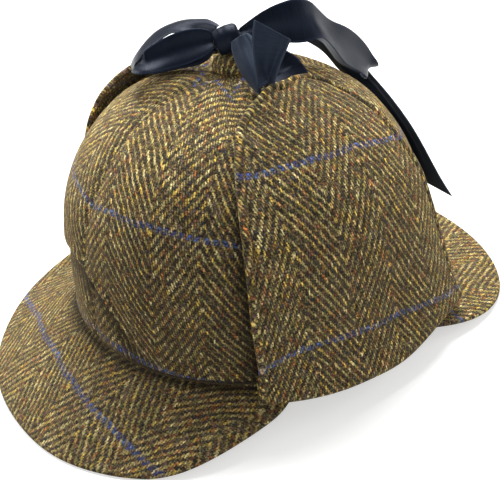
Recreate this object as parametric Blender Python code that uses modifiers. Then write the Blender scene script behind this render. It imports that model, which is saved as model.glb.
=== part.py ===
"""Deerstalker hat: a six-panel tweed crown, two peaks, two ear flaps tied up over the top with a ribbon bow.

The front peak points along -Y, the wearer's left is +X and +Z is up. The hat stands on the lower edges of its
two peaks at z = 0, and the origin is under the middle of it. All the sizes below are in millimetres; the
meshes are written in metres.
"""

import math
from typing import NamedTuple

import bmesh
import bpy
import numpy as np

MM = 0.001
CLEARANCE = 0.35              # left between two pieces that are sewn or laid together
PANEL_GAP = 0.42              # left between two panels at their seam
SEAT_CLEARANCE = 0.65         # left where a peak is sewn under the crown's edge

# ---- crown: six panels sewn from the rim to the button ----
RIM_HALF_LENGTH = 104.0       # front to back, outside
RIM_HALF_WIDTH = 94.0         # side to side, outside
RIM_ROUNDNESS = 2.15          # 2 is an ellipse, more is squarer
RIM_HEIGHT = 22.0             # of the rim's seam over the table, at the sides
RIM_FRONT_RISE = 12.6         # the front peak lifts the rim in front
RIM_REAR_DROP = 15.0          # and the rear of the rim sits low
CROWN_HEIGHT = 142.0          # from the rim's seam to the button
CROWN_SET_BACK = 4.8          # the button sits this far behind the middle of the rim
CROWN_FORWARD_FILL = 6.2      # the shoulder is fuller in front than behind
CROWN_WALL = 2.2
PANEL_COUNT = 6
PANEL_TOP = 0.984             # share of the way from rim to button where the panels stop, under the button
SEAM_DEPTH = 1.1              # how far each seam is drawn in
SEAM_WIDTH = 4.0
SEAM_FULL_WIDTH = 30.0        # a panel narrower than this has shallower seams
SHOULDER_RADIUS = 100.0       # the crown's shoulder is fullest at a quarter of this from the button
SHOULDER_REACH = 80.0         # and this far in front of or behind the middle

# ---- front overhang: the crown sags over its own front seam ----
SAG_DEPTH = 3.2
SAG_WIDTH = 9.0
SAG_FADE = 14.0               # height over the rim below which the sag dies away

# ---- peaks and flaps ----
PEAK_THICKNESS = 3.0
FAR_WING_REACH = 7.34         # the front peak's far wing reaches this much further out than the near flap
EDGE_CLEAR = 0.175            # under the peaks' lowest edges, before the hat is set down
FLAP_THICKNESS = 2.5
FOLD_RADIUS = 4.25            # of the middle of the cloth where a flap turns up
FLAP_ROOT_UP = 6.0            # the flap is sewn this far up the outside of the crown
FLAP_ROOT_OUT = 1.75
FLAP_ROOT_TURN = 2.6          # and drops this far before its fold begins

# ---- button and bow ----
BUTTON_RADIUS = 10.2
BUTTON_HEIGHT = 9.0
RIBBON_THICKNESS = 0.9
KNOT_RADIUS = 7.0

# ---- how finely each piece is cut ----
PANEL_COLUMNS = [0.0, 0.04, 0.11, 0.24, 0.37, 0.5, 0.63, 0.76, 0.89, 0.96, 1.0]
PANEL_ROWS = [0.0, 0.035, 0.07, 0.11, 0.15, 0.20, 0.25, 0.31, 0.38, 0.46, 0.55, 0.64, 0.73, 0.82, 0.90]
PEAK_ROWS = [0.0, 0.12, 0.30, 0.50, 0.70, 0.88, 1.0]
PEAK_COLUMNS = 29
FLAP_COLUMNS = 10
FOLD_CUTS = [160, 195, 230, 265, 300, 335, 365]
BUTTON_STEPS = 20
CUTS_PER_RIBBON_ROW = 2
RIBBON_SIDES = [-1.0, -0.5, 0.0, 0.5, 1.0]
SHARP_EDGE = 40


class ProfileRow(NamedTuple):
    """The crown's outline from the rim upwards: height over the rim, share of the rim's radius."""
    height: float
    share: float


class SagRow(NamedTuple):
    """The crease of the front overhang: angle round the crown, height of the crease over the rim, strength."""
    angle: float
    height: float
    strength: float


class PeakRow(NamedTuple):
    """A peak's outer edge: angle from the peak's middle, depth beyond the rim, height over the table.

    Where bend is above 1 the peak leaves the rim flat and bends down outwards; below 1 it falls at the rim.
    """
    angle: float
    depth: float
    edge_height: float
    bend: float


class FoldRow(NamedTuple):
    """The round fold under a flap: angle round the crown, how far out and up from the rim its middle lies."""
    angle: float
    out: float
    up: float


class FlapRow(NamedTuple):
    """A flap on the crown: share of the way from rim to button, its two edges' angles, how far out it lies."""
    along: float
    front: float
    rear: float
    out: float


class RibbonRow(NamedTuple):
    """A ribbon's middle line: place from the button's foot, its width there, and which way its width points."""
    x: float
    y: float
    z: float
    width: float
    across: tuple


CROWN_PROFILE = [
    ProfileRow(0, 0.985),
    ProfileRow(14, 0.976),
    ProfileRow(28, 0.983),
    ProfileRow(45, 0.983),
    ProfileRow(62, 0.972),
    ProfileRow(80, 0.937),
    ProfileRow(97, 0.860),
    ProfileRow(112, 0.753),
    ProfileRow(125, 0.600),
    ProfileRow(134, 0.420),
    ProfileRow(140, 0.220),
    ProfileRow(142, 0.000),
]

SAG_CREASE = [
    SagRow(-60, 66, 0.0),
    SagRow(-35, 64, 0.25),
    SagRow(-6, 60, 0.9),
    SagRow(5, 50, 1.0),
    SagRow(15, 32, 0.9),
    SagRow(20, 18, 0.6),
    SagRow(30, 6, 0.0),
]

FRONT_PEAK = [
    PeakRow(-78, 3, 16.5, 0.8),
    PeakRow(-75, 9, 13.4, 0.5),
    PeakRow(-71, 22, 13.8, 0.4),
    PeakRow(-67, 30.8, 14.6, 0.36),
    PeakRow(-63.5, 33.8, 14.6, 0.4),
    PeakRow(-60, 36.9, 12.6, 0.5),
    PeakRow(-51, 42.5, 9, 0.8),
    PeakRow(-40, 46.6, 6, 1.1),
    PeakRow(-28, 50, 3.1, 1.2),
    PeakRow(-14, 52, 2.9, 1.2),
    PeakRow(0, 53, 3.1, 1.2),
    PeakRow(14, 53, 2.8, 1.2),
    PeakRow(25, 50, 2.8, 1.2),
    PeakRow(34, 46, 3.2, 1.2),
    PeakRow(41, 41, 6.0, 1.2),
    PeakRow(48, 33, 10.0, 1.2),
    PeakRow(58, 20, 14.0, 0.9),
    PeakRow(66, 9.5, 17.0, 0.9),
    PeakRow(70, 3, 20.5, 1.0),
]

REAR_PEAK = [
    PeakRow(-60, 3, 17.0, 1.2),
    PeakRow(-53, 16, 12.5, 1.2),
    PeakRow(-48, 25, 9.0, 1.2),
    PeakRow(-41, 35, 5.5, 1.2),
    PeakRow(-33, 41, 3.6, 1.2),
    PeakRow(-20, 43, 3.2, 1.2),
    PeakRow(0, 42, 3.6, 1.2),
    PeakRow(20, 43, 3.2, 1.2),
    PeakRow(33, 41, 3.6, 1.2),
    PeakRow(41, 36, 5.5, 1.2),
    PeakRow(48, 27, 9.0, 1.2),
    PeakRow(53, 17, 12.5, 1.2),
    PeakRow(60, 3, 17.0, 1.2),
]

FLAP_FOLD = [
    FoldRow(57, 8.6, 0.5),
    FoldRow(66, 9.4, -0.2),
    FoldRow(77, 10.0, -1.8),
    FoldRow(96, 10.6, -4.2),
    FoldRow(107, 11.0, -4.0),
    FoldRow(119, 12.2, 1.2),
    FoldRow(127, 13.5, 3.4),
    FoldRow(139, 17.2, 4.4),
]

FLAP_BODY = [
    FlapRow(0.050, 59.3, 137.2, 11.6),
    FlapRow(0.100, 59.5, 137.8, 9.4),
    FlapRow(0.160, 59.3, 138.2, 7.4),
    FlapRow(0.230, 59.0, 138.6, 6.2),
    FlapRow(0.310, 59.0, 138.4, 5.4),
    FlapRow(0.390, 58.9, 138.0, 5.0),
    FlapRow(0.460, 58.6, 137.4, 4.8),
    FlapRow(0.530, 58.2, 137.0, 4.6),
    FlapRow(0.600, 58.0, 138.4, 4.5),
    FlapRow(0.660, 58.4, 139.6, 4.3),
    FlapRow(0.710, 59.6, 141.0, 4.1),
    FlapRow(0.750, 63.5, 141.4, 4.4),
    FlapRow(0.785, 71.5, 138.5, 5.0),
    FlapRow(0.810, 82.0, 133.0, 5.3),
    FlapRow(0.828, 95.0, 122.0, 5.5),
]
FLAP_FLARE = 8.0              # the flap's rear edge stands this much further out, low down
FLAP_FLARE_ANGLES = (104.0, 139.0)
FLAP_FLARE_TOP = 0.40         # share of the way up at which the flare has gone

FAR_FLAP_LIFT = 5.0           # the tie holds the right flap's front edge this far off the crown

LOOP_LEFT = [
    RibbonRow(-6.6, -3, 20.6, 5, (-0.60, 0.60, 0.50)),
    RibbonRow(-16, -6, 20.3, 11, (-0.79, 0.53, 0.30)),
    RibbonRow(-26, -10, 20, 17, (-0.90, 0.42, -0.08)),
    RibbonRow(-33, -16, 18, 22, (-0.90, 0.36, -0.24)),
    RibbonRow(-35.5, -24.5, 15, 22, (-0.91, 0.32, -0.26)),
    RibbonRow(-34.5, -34, 10.5, 19, (-0.90, 0.28, -0.34)),
    RibbonRow(-26, -44, 9, 17, (-0.88, 0.34, -0.20)),
    RibbonRow(-17, -42.5, 12, 13, (-0.80, 0.35, 0.42)),
    RibbonRow(-13.5, -33, 14.5, 16, (-0.69, 0.27, 0.67)),
    RibbonRow(-8.5, -23, 17, 16, (-0.62, 0.29, 0.73)),
    RibbonRow(-4.5, -13.5, 18.8, 10, (-0.60, 0.30, 0.74)),
    RibbonRow(-2.6, -7.6, 18.6, 5, (-0.60, 0.30, 0.74)),
]

LOOP_RIGHT = [
    RibbonRow(2.9, 6.9, 19.2, 6, (-0.50, 0.42, 0.75)),
    RibbonRow(8, 16, 21, 14, (-0.55, 0.32, 0.77)),
    RibbonRow(11.5, 27, 21, 21, (-0.59, 0.32, 0.74)),
    RibbonRow(14.5, 37.5, 20, 24, (-0.62, 0.31, 0.72)),
    RibbonRow(15, 47, 16.5, 21, (-0.74, 0.30, 0.60)),
    RibbonRow(12.5, 56.5, 5, 20, (-0.80, 0.56, 0.20)),
    RibbonRow(10, 66, -6, 22, (-0.66, 0.72, 0.21)),
    RibbonRow(7, 76, -16, 21, (-0.60, 0.78, 0.16)),
    RibbonRow(5, 84, -26, 17, (-0.58, 0.81, -0.00)),
    RibbonRow(1, 89, -34, 12, (-0.55, 0.81, -0.20)),
    RibbonRow(-7, 91, -36, 13, (-0.50, 0.86, 0.05)),
    RibbonRow(-9.5, 83, -27, 17, (-0.65, 0.75, 0.10)),
    RibbonRow(-6.5, 72.5, -16, 18, (-0.71, 0.64, 0.28)),
    RibbonRow(0, 59, 0, 16, (-0.80, 0.58, 0.10)),
    RibbonRow(3, 47, 7.5, 16, (-0.80, 0.57, 0.18)),
    RibbonRow(1.5, 35, 11.5, 14, (-0.74, 0.55, 0.39)),
    RibbonRow(0, 20, 14.5, 9, (-0.73, 0.53, 0.43)),
    RibbonRow(-2.6, 9.2, 15.8, 5, (-0.74, 0.53, 0.41)),
]

LONG_TAIL = [
    RibbonRow(-4.9, 6.2, 13.2, 5, (-0.57, 0.46, 0.68)),
    RibbonRow(-9, 24, 9, 9, (-0.62, 0.48, 0.62)),
    RibbonRow(-13, 42, 2, 11, (-0.62, 0.54, 0.57)),
    RibbonRow(-19, 60, -11, 12, (-0.46, 0.66, 0.60)),
    RibbonRow(-23, 78, -27, 13, (-0.10, 0.82, 0.57)),
    RibbonRow(-20, 90, -40, 14, (0.45, 0.60, 0.65)),
    RibbonRow(-9.4, 94.4, -49.5, 17, (0.84, 0.10, 0.53)),
    RibbonRow(6.8, 95.2, -58.3, 21, (0.87, -0.06, 0.49)),
    RibbonRow(25.2, 95.4, -71, 24, (0.84, -0.10, 0.53)),
    RibbonRow(38, 96, -87, 25, (0.82, -0.07, 0.56)),
    RibbonRow(49, 98, -102, 25, (0.82, -0.05, 0.57)),
]

SHORT_TAIL = [
    RibbonRow(7.6, 3.2, 19.6, 8, (-0.26, -0.96, 0.11)),
    RibbonRow(11, 3, 16, 10, (-0.50, -0.86, 0.11)),
    RibbonRow(16.5, 1, 11, 11, (-0.60, -0.80, 0.06)),
    RibbonRow(22, -1, 6.6, 10, (-0.66, -0.75, -0.05)),
    RibbonRow(27, -2, 2.4, 8, (-0.76, -0.65, -0.10)),
    RibbonRow(31, -2.4, 0.4, 6, (-0.80, -0.60, 0.00)),
    RibbonRow(33, -2.6, 3, 6, (-0.62, -0.78, 0.10)),
    RibbonRow(32.4, -0.4, 9, 9, (-0.54, -0.84, 0.08)),
    RibbonRow(30, 3, 16, 14, (-0.55, -0.82, 0.14)),
    RibbonRow(28.4, 6.8, 23.5, 18, (-0.55, -0.80, 0.24)),
    RibbonRow(27.4, 9.6, 29, 18, (-0.60, -0.68, 0.42)),
]

LEFT_TIE = [
    RibbonRow(6, 8.4, 12.6, 6, (-0.47, 0.60, 0.65)),
    RibbonRow(10.5, 13.6, 9.2, 12, (-0.25, 0.89, 0.37)),
    RibbonRow(16.6, 16.2, 4.4, 20, (-0.23, 0.94, 0.27)),
    RibbonRow(23.2, 18, -0.4, 25, (-0.25, 0.95, 0.16)),
    RibbonRow(28.6, 18.5, -3.9, 25, (-0.24, 0.96, 0.02)),
]

RIGHT_TIE = [
    RibbonRow(-5.8, -5.4, 12.4, 6, (-0.42, 0.70, 0.60)),
    RibbonRow(-13, -9, 7.6, 12, (-0.62, 0.50, 0.60)),
    RibbonRow(-26, -17, 2.4, 15, (-0.82, 0.47, 0.32)),
    RibbonRow(-36, -23.5, -2.6, 15, (-0.86, 0.49, 0.14)),
    RibbonRow(-41, -27.4, -4.8, 11, (-0.88, 0.46, 0.12)),
]

TWEED = dict(colour=(0.20, 0.155, 0.065, 1.0), roughness=0.95)
RIBBON = dict(colour=(0.012, 0.013, 0.020, 1.0), roughness=0.42)


def cubic_through(rows, key, value):
    """Gives a function for the smooth curve through a table's rows, as a natural cubic."""
    x = np.array([getattr(row, key) for row in rows], dtype=float)
    y = np.array([getattr(row, value) for row in rows], dtype=float)
    step = np.diff(x)
    slope = np.diff(y) / step
    system = np.eye(len(x))
    bend = np.zeros(len(x))
    for i in range(1, len(x) - 1):
        system[i, i - 1:i + 2] = step[i - 1], 2 * (step[i - 1] + step[i]), step[i]
        bend[i] = 6 * (slope[i] - slope[i - 1])
    second = np.linalg.solve(system, bend)

    def value_at(at):
        at = min(max(at, x[0]), x[-1])
        i = min(int(np.searchsorted(x, at, side="right")) - 1, len(x) - 2)
        left, right, width = at - x[i], x[i + 1] - at, step[i]
        return float(
            (second[i] * right ** 3 + second[i + 1] * left ** 3) / (6 * width)
            + (y[i] / width - second[i] * width / 6) * right
            + (y[i + 1] / width - second[i + 1] * width / 6) * left
        )

    return value_at


def linear_through(rows, key, value):
    """Gives a function for the straight runs between a table's rows."""
    x = [getattr(row, key) for row in rows]
    y = [getattr(row, value) for row in rows]
    return lambda at: float(np.interp(at, x, y))


def smooth_step(low, high, at):
    """Rises from 0 at low to 1 at high."""
    share = min(max((at - low) / (high - low), 0.0), 1.0)
    return share * share * (3 - 2 * share)


class SweepRow(NamedTuple):
    """One number of a RibbonRow, against the row's place in its table."""
    step: int
    value: float


class ShareRow(NamedTuple):
    """The crown's profile once more, measured along the cloth."""
    along: float
    height: float
    share: float


def profile_by_length():
    """Measures CROWN_PROFILE along the cloth, so that rows can be spaced evenly on it."""
    mean_radius = (RIM_HALF_LENGTH + RIM_HALF_WIDTH) / 2
    lengths = [0.0]
    for low, high in zip(CROWN_PROFILE, CROWN_PROFILE[1:]):
        run = math.hypot(high.height - low.height, (high.share - low.share) * mean_radius)
        lengths.append(lengths[-1] + run)
    return [ShareRow(length / lengths[-1], row.height, row.share) for length, row in zip(lengths, CROWN_PROFILE)]


PROFILE_ROWS = profile_by_length()
profile_height = cubic_through(PROFILE_ROWS, "along", "height")
profile_share = cubic_through(PROFILE_ROWS, "along", "share")
sag_height = cubic_through(SAG_CREASE, "angle", "height")
sag_strength = linear_through(SAG_CREASE, "angle", "strength")


def rim_radius(turn):
    """Radius of the rim at an angle in radians from the front, towards the wearer's left."""
    side = abs(math.sin(turn) / RIM_HALF_WIDTH) ** RIM_ROUNDNESS
    front = abs(math.cos(turn) / RIM_HALF_LENGTH) ** RIM_ROUNDNESS
    return (side + front) ** (-1 / RIM_ROUNDNESS)


def rim_rise(turn):
    """How far the rim is lifted in front, or let down behind."""
    toward_front = math.cos(turn)
    return (RIM_FRONT_RISE if toward_front > 0 else -RIM_REAR_DROP) * toward_front ** 2


def outward(turn):
    """Level direction away from the hat's middle."""
    return np.array([math.sin(turn), -math.cos(turn), 0.0])


def crown_sag(angle, height):
    """How far the front overhang pushes the cloth out, above its crease, or in, below it."""
    from_crease = (height - sag_height(angle)) / SAG_WIDTH
    near_rim = smooth_step(0.0, SAG_FADE, height)
    return SAG_DEPTH * sag_strength(angle) * near_rim * 2 * from_crease / (1 + from_crease ** 2)


def smooth_crown(angle, along):
    """A point of the crown's outer face, without its seams."""
    turn = math.radians(angle)
    height = profile_height(along)
    signed = (angle + 180) % 360 - 180
    radius = rim_radius(turn) * profile_share(along) + crown_sag(signed, height)
    point = outward(turn) * radius
    point[1] += CROWN_SET_BACK * (max(height, 0.0) / CROWN_HEIGHT) ** 1.5
    point[2] = RIM_HEIGHT + rim_rise(turn) * (1 - height / CROWN_HEIGHT) + height
    shoulder = math.sin(math.pi * math.sqrt(min(radius / SHOULDER_RADIUS, 1.0)))
    point[2] -= CROWN_FORWARD_FILL * shoulder * min(max(point[1] / SHOULDER_REACH, -1.0), 1.0)
    return point


def crown_normal(angle, along):
    """The direction square to the crown's outer face."""
    low, high = max(along - 0.004, 0.0), min(along + 0.004, 0.992)
    around = smooth_crown(angle + 0.4, along) - smooth_crown(angle - 0.4, along)
    upward = smooth_crown(angle, high) - smooth_crown(angle, low)
    normal = np.cross(around, upward)
    return normal / np.linalg.norm(normal)


def over_crown(angle, along, out):
    """A point at a distance out from the crown's outer face."""
    return smooth_crown(angle, along) + crown_normal(angle, along) * out


PEAK_REACH = {
    "front": next(row.depth for row in FRONT_PEAK if row.angle == 0),
    "rear": next(row.depth for row in REAR_PEAK if row.angle == 0),
}
# Moves everything so that the hat stands on z = 0 and the origin is under the middle of it.
MIDDLE = np.array([FAR_WING_REACH / 2, (PEAK_REACH["front"] - PEAK_REACH["rear"]) / 2, -EDGE_CLEAR])


def principled(name, colour, roughness):
    """A plain material for one sub-part."""
    material = bpy.data.materials.new(name)
    material.use_nodes = True
    shader = material.node_tree.nodes["Principled BSDF"]
    shader.inputs["Base Color"].default_value = colour
    shader.inputs["Roughness"].default_value = roughness
    shader.inputs["Metallic"].default_value = 0.0
    return material


def add_object(name, mesh, collection, finish):
    """Puts a mesh in the hat's collection, smooth shaded and with its own material."""
    mesh.materials.append(principled(name, **finish))
    for polygon in mesh.polygons:
        polygon.use_smooth = True
    mesh.set_sharp_from_angle(angle=math.radians(SHARP_EDGE))
    piece = bpy.data.objects.new(name, mesh)
    collection.objects.link(piece)
    return piece


def loft(name, rows, collection, finish):
    """Joins rows of points, in millimetres, into an open sheet of quads."""
    form = bmesh.new()
    grid = [[form.verts.new((point + MIDDLE) * MM) for point in row] for row in rows]
    for lower, upper in zip(grid, grid[1:]):
        for i in range(len(lower) - 1):
            form.faces.new((lower[i], lower[i + 1], upper[i + 1], upper[i]))
    mesh = bpy.data.meshes.new(name)
    form.to_mesh(mesh)
    form.free()
    return add_object(name, mesh, collection, finish)


def thicken(piece, thickness, offset):
    """Gives an open sheet its wall; offset -1 lays the wall behind the sheet's face, 0 on both sides."""
    wall = piece.modifiers.new("wall", "SOLIDIFY")
    wall.thickness = thickness * MM
    wall.offset = offset
    wall.use_even_offset = False
    return wall


def crown_panel(number, collection):
    """One of the six gores, drawn in along both of its seams."""
    first = number * 360 / PANEL_COUNT
    angle_of_panel = 360 / PANEL_COUNT
    middle = first + angle_of_panel / 2
    rows = []
    for along in [*PANEL_ROWS, PANEL_TOP]:
        reach = float(np.linalg.norm(smooth_crown(middle, along)[:2] - smooth_crown(0, 1)[:2]))
        width = 2 * math.pi * reach / PANEL_COUNT
        slack = math.degrees(PANEL_GAP / 2 / reach)
        row = []
        for share in PANEL_COLUMNS:
            angle = first + slack + share * (angle_of_panel - 2 * slack)
            from_seam = min(share, 1 - share) * width
            pull = SEAM_DEPTH * math.exp(-(from_seam / SEAM_WIDTH) ** 2) * min(width / SEAM_FULL_WIDTH, 1)
            row.append(over_crown(angle, along, -pull))
        rows.append(row)
    panel = loft(f"crown_panel_{number + 1}", rows, collection, TWEED)
    thicken(panel, CROWN_WALL, -1)
    return panel


def button(collection):
    """The cloth-covered button where the six seams meet, turned from its outline."""
    foot = smooth_crown(0, 1) + MIDDLE
    outline = [
        (0.0, BUTTON_HEIGHT),
        (0.35 * BUTTON_RADIUS, 0.95 * BUTTON_HEIGHT),
        (0.66 * BUTTON_RADIUS, 0.81 * BUTTON_HEIGHT),
        (0.88 * BUTTON_RADIUS, 0.58 * BUTTON_HEIGHT),
        (BUTTON_RADIUS, 0.30 * BUTTON_HEIGHT),
        (0.97 * BUTTON_RADIUS, 0.10 * BUTTON_HEIGHT),
        (0.85 * BUTTON_RADIUS, 0.0),
        (0.0, 0.0),
    ]
    form = bmesh.new()
    verts = [form.verts.new((radius * MM, 0, height * MM)) for radius, height in outline]
    for start, end in zip(verts, verts[1:]):
        form.edges.new((start, end))
    mesh = bpy.data.meshes.new("crown_button")
    form.to_mesh(mesh)
    form.free()
    piece = add_object("crown_button", mesh, collection, TWEED)
    piece.location = (foot + np.array([0, 0, CLEARANCE])) * MM
    turn = piece.modifiers.new("turn", "SCREW")
    turn.steps = turn.render_steps = BUTTON_STEPS
    turn.use_merge_vertices = True
    turn.merge_threshold = 0.00005
    turn.use_smooth_shade = True
    return piece


def peak(name, middle, table, collection):
    """A stiffened peak, from under the crown's wall out to its free edge."""
    depth_at = cubic_through(table, "angle", "depth")
    height_at = cubic_through(table, "angle", "edge_height")
    bend_at = linear_through(table, "angle", "bend")
    inset = CROWN_WALL + CLEARANCE / 2
    rows = []
    for share in PEAK_ROWS:
        row = []
        for angle in np.linspace(table[0].angle, table[-1].angle, PEAK_COLUMNS):
            turn = math.radians(middle + angle)
            root = smooth_crown(middle + angle, 0)
            depth = depth_at(angle)
            fall = root[2] - SEAT_CLEARANCE - height_at(angle)
            point = root + outward(turn) * (share * (depth + inset) - inset)
            point[2] -= SEAT_CLEARANCE + fall * share ** bend_at(angle)
            row.append(point)
        rows.append(row[::-1])
    piece = loft(name, rows, collection, TWEED)
    thicken(piece, PEAK_THICKNESS, -1)
    return piece


def flap_out(row, angle, share, front_lift):
    """How far out a turned-up flap lies: its rear edge stands off low down, its front edge may be held up."""
    flare = smooth_step(*FLAP_FLARE_ANGLES, angle)
    low_down = 1 - smooth_step(0.0, FLAP_FLARE_TOP, row.along)
    high_up = smooth_step(0.25, 0.55, row.along) * (1 - smooth_step(0.72, 0.83, row.along))
    return row.out + FLAP_FLARE * flare * low_down + front_lift * (1 - share) ** 2 * high_up


def ear_flap(name, side, front_lift, collection):
    """A flap sewn at the rim, turned up at a round fold and laid over the side of the crown."""
    fold_out = cubic_through(FLAP_FOLD, "angle", "out")
    fold_up = cubic_through(FLAP_FOLD, "angle", "up")
    columns = np.linspace(0, 1, FLAP_COLUMNS)
    bottom = FLAP_BODY[0]
    rows = []

    def section(offset_at):
        row = []
        for share in columns:
            angle = bottom.front + share * (bottom.rear - bottom.front)
            out, up = offset_at(fold_out(angle), fold_up(angle))
            point = smooth_crown(angle, 0) + outward(math.radians(angle)) * out
            point[2] += up
            row.append(point)
        rows.append(row)

    section(lambda out, up: (FLAP_ROOT_OUT, FLAP_ROOT_UP))
    section(lambda out, up: (FLAP_ROOT_OUT + 0.5, FLAP_ROOT_UP - FLAP_ROOT_TURN))
    for bend in FOLD_CUTS:
        level = math.cos(math.radians(bend)) * FOLD_RADIUS
        rise = math.sin(math.radians(bend)) * FOLD_RADIUS
        section(lambda out, up: (out + level, up + rise))
    for body in FLAP_BODY:
        row = []
        for share in columns:
            angle = body.front + share * (body.rear - body.front)
            row.append(over_crown(angle, body.along, flap_out(body, angle, share, front_lift)))
        rows.append(row)
    if side < 0:
        rows = [[point * np.array([-1, 1, 1]) for point in row[::-1]] for row in rows]
    piece = loft(name, rows, collection, TWEED)
    thicken(piece, FLAP_THICKNESS, 0)
    return piece


def knot(collection):
    """The bow's knot, sitting on the button."""
    foot = smooth_crown(0, 1) + MIDDLE
    form = bmesh.new()
    bmesh.ops.create_uvsphere(form, u_segments=16, v_segments=10, radius=KNOT_RADIUS * MM)
    mesh = bpy.data.meshes.new("bow_knot")
    form.to_mesh(mesh)
    form.free()
    piece = add_object("bow_knot", mesh, collection, RIBBON)
    piece.location = (foot + np.array([0, 0, BUTTON_HEIGHT + 2 * CLEARANCE + KNOT_RADIUS])) * MM
    return piece


def curve_through(values):
    """The smooth curve through evenly spaced values."""
    return cubic_through([SweepRow(*pair) for pair in enumerate(values)], "step", "value")


def ribbon(name, table, collection):
    """A flat ribbon swept along its middle line."""
    foot = smooth_crown(0, 1)
    place_at = [curve_through([row[axis] for row in table]) for axis in range(3)]
    across_at = [curve_through([row.across[axis] for row in table]) for axis in range(3)]
    width_at = curve_through([row.width for row in table])
    last = len(table) - 1
    cuts = np.linspace(0, last, CUTS_PER_RIBBON_ROW * last + 1)
    middle = [np.array([curve(cut) for curve in place_at]) for cut in cuts]
    strip = []
    for i, cut in enumerate(cuts):
        path = middle[min(i + 1, len(cuts) - 1)] - middle[max(i - 1, 0)]
        path /= np.linalg.norm(path)
        across = np.array([curve(cut) for curve in across_at])
        across -= path * across.dot(path)
        across /= np.linalg.norm(across)
        half = width_at(cut) / 2
        strip.append([foot + middle[i] + across * half * side for side in RIBBON_SIDES])
    piece = loft(name, strip, collection, RIBBON)
    thicken(piece, RIBBON_THICKNESS, 0)
    return piece


def main():
    """Builds the hat."""
    for old in list(bpy.data.objects):
        bpy.data.objects.remove(old, do_unlink=True)
    hat = bpy.data.collections.new("deerstalker_hat")
    bpy.context.scene.collection.children.link(hat)
    for number in range(PANEL_COUNT):
        crown_panel(number, hat)
    button(hat)
    peak("front_peak", 0, FRONT_PEAK, hat)
    peak("rear_peak", 180, REAR_PEAK, hat)
    ear_flap("left_ear_flap", 1, 0.0, hat)
    ear_flap("right_ear_flap", -1, FAR_FLAP_LIFT, hat)
    knot(hat)
    ribbon("bow_loop_left", LOOP_LEFT, hat)
    ribbon("bow_loop_right", LOOP_RIGHT, hat)
    ribbon("bow_long_tail", LONG_TAIL, hat)
    ribbon("bow_short_tail", SHORT_TAIL, hat)
    ribbon("left_tie", LEFT_TIE, hat)
    ribbon("right_tie", RIGHT_TIE, hat)


if __name__ == "__main__":
    main()
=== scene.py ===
"""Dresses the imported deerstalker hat: tweed crown, peaks and ear flaps, and a satin ribbon bow.

The pieces repeat the part's own sizes, in millimetres from the middle of the rim, with the front peak
along -Y and the wearer's left along +X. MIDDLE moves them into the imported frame, which is in metres.
"""
import logging
import math
from dataclasses import dataclass, field
from enum import Enum
from typing import NamedTuple, Sequence

import bpy
import numpy as np
from mathutils import Matrix, Vector, noise


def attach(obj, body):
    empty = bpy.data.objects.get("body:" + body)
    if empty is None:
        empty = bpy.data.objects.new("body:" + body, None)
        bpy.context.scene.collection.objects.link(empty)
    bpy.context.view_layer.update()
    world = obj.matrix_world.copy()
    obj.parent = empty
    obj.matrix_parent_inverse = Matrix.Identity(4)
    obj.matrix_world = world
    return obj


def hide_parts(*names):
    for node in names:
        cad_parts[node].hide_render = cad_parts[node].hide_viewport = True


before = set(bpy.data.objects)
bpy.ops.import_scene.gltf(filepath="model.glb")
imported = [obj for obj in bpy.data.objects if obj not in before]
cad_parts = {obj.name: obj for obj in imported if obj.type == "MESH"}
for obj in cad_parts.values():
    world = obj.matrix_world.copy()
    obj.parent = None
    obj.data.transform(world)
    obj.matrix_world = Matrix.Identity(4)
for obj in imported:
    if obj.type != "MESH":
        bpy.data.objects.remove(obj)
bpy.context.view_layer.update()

MM = 0.001
MIDDLE = np.array([3.67, 5.5, -0.175])
Array = np.ndarray
Tree = bpy.types.NodeTree
Material = bpy.types.Material
Pair = tuple[float, float]
Rows = tuple[tuple[float, ...], ...]
log = logging.getLogger("deerstalker")


class Slot(Enum):
    """The record's material slots."""
    TWEED = "tweed"
    RIBBON = "ribbon"


class Side(Enum):
    """Which of the wearer's ears a flap belongs to."""
    LEFT = 1
    RIGHT = -1


class Facing(Enum):
    """Which way round a sheet's outer face lies."""
    AWAY_FROM_MIDDLE = "away"
    UPWARDS = "up"
    AS_WOVEN = "woven"


# ---------------------------------------------------------------- small maths
def linear(code: str) -> tuple[float, float, float, float]:
    """Turns an sRGB hex colour into linear light.

    Args:
        code: the colour as "#rrggbb".
    Returns:
        Red, green and blue in linear light, and full alpha.
    """
    parts = [int(code[i:i + 2], 16) / 255 for i in (1, 3, 5)]
    light = [c / 12.92 if c <= 0.04045 else ((c + 0.055) / 1.055) ** 2.4 for c in parts]
    return (*light, 1.0)


def smooth_step(low: float, high: float, at: Array) -> Array:
    """Rises from 0 at low to 1 at high."""
    share = np.clip((np.asarray(at, dtype=float) - low) / (high - low), 0.0, 1.0)
    return share * share * (3 - 2 * share)


def bump_at(at: Array, middle: float, width: float) -> Array:
    """A round hump, 1 at its middle."""
    return np.exp(-((np.asarray(at) - middle) / width) ** 2)


def unit(vectors: Array) -> Array:
    """Vectors brought to length 1."""
    return vectors / np.maximum(np.linalg.norm(vectors, axis=-1, keepdims=True), 1e-9)


def rumple(points: Array, size: float, seed: float) -> Array:
    """Soft unevenness of cloth, the same on every run.

    Args:
        points: places in millimetres, any shape with 3 last.
        size: how wide the humps are, in millimetres.
        seed: shifts the pattern.
    Returns:
        A number between about -1 and 1 for each point.
    """
    flat = points.reshape(-1, 3) / size + seed
    found = [noise.noise(Vector(p)) for p in flat]
    return np.array(found).reshape(points.shape[:-1]) * 1.6


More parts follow.
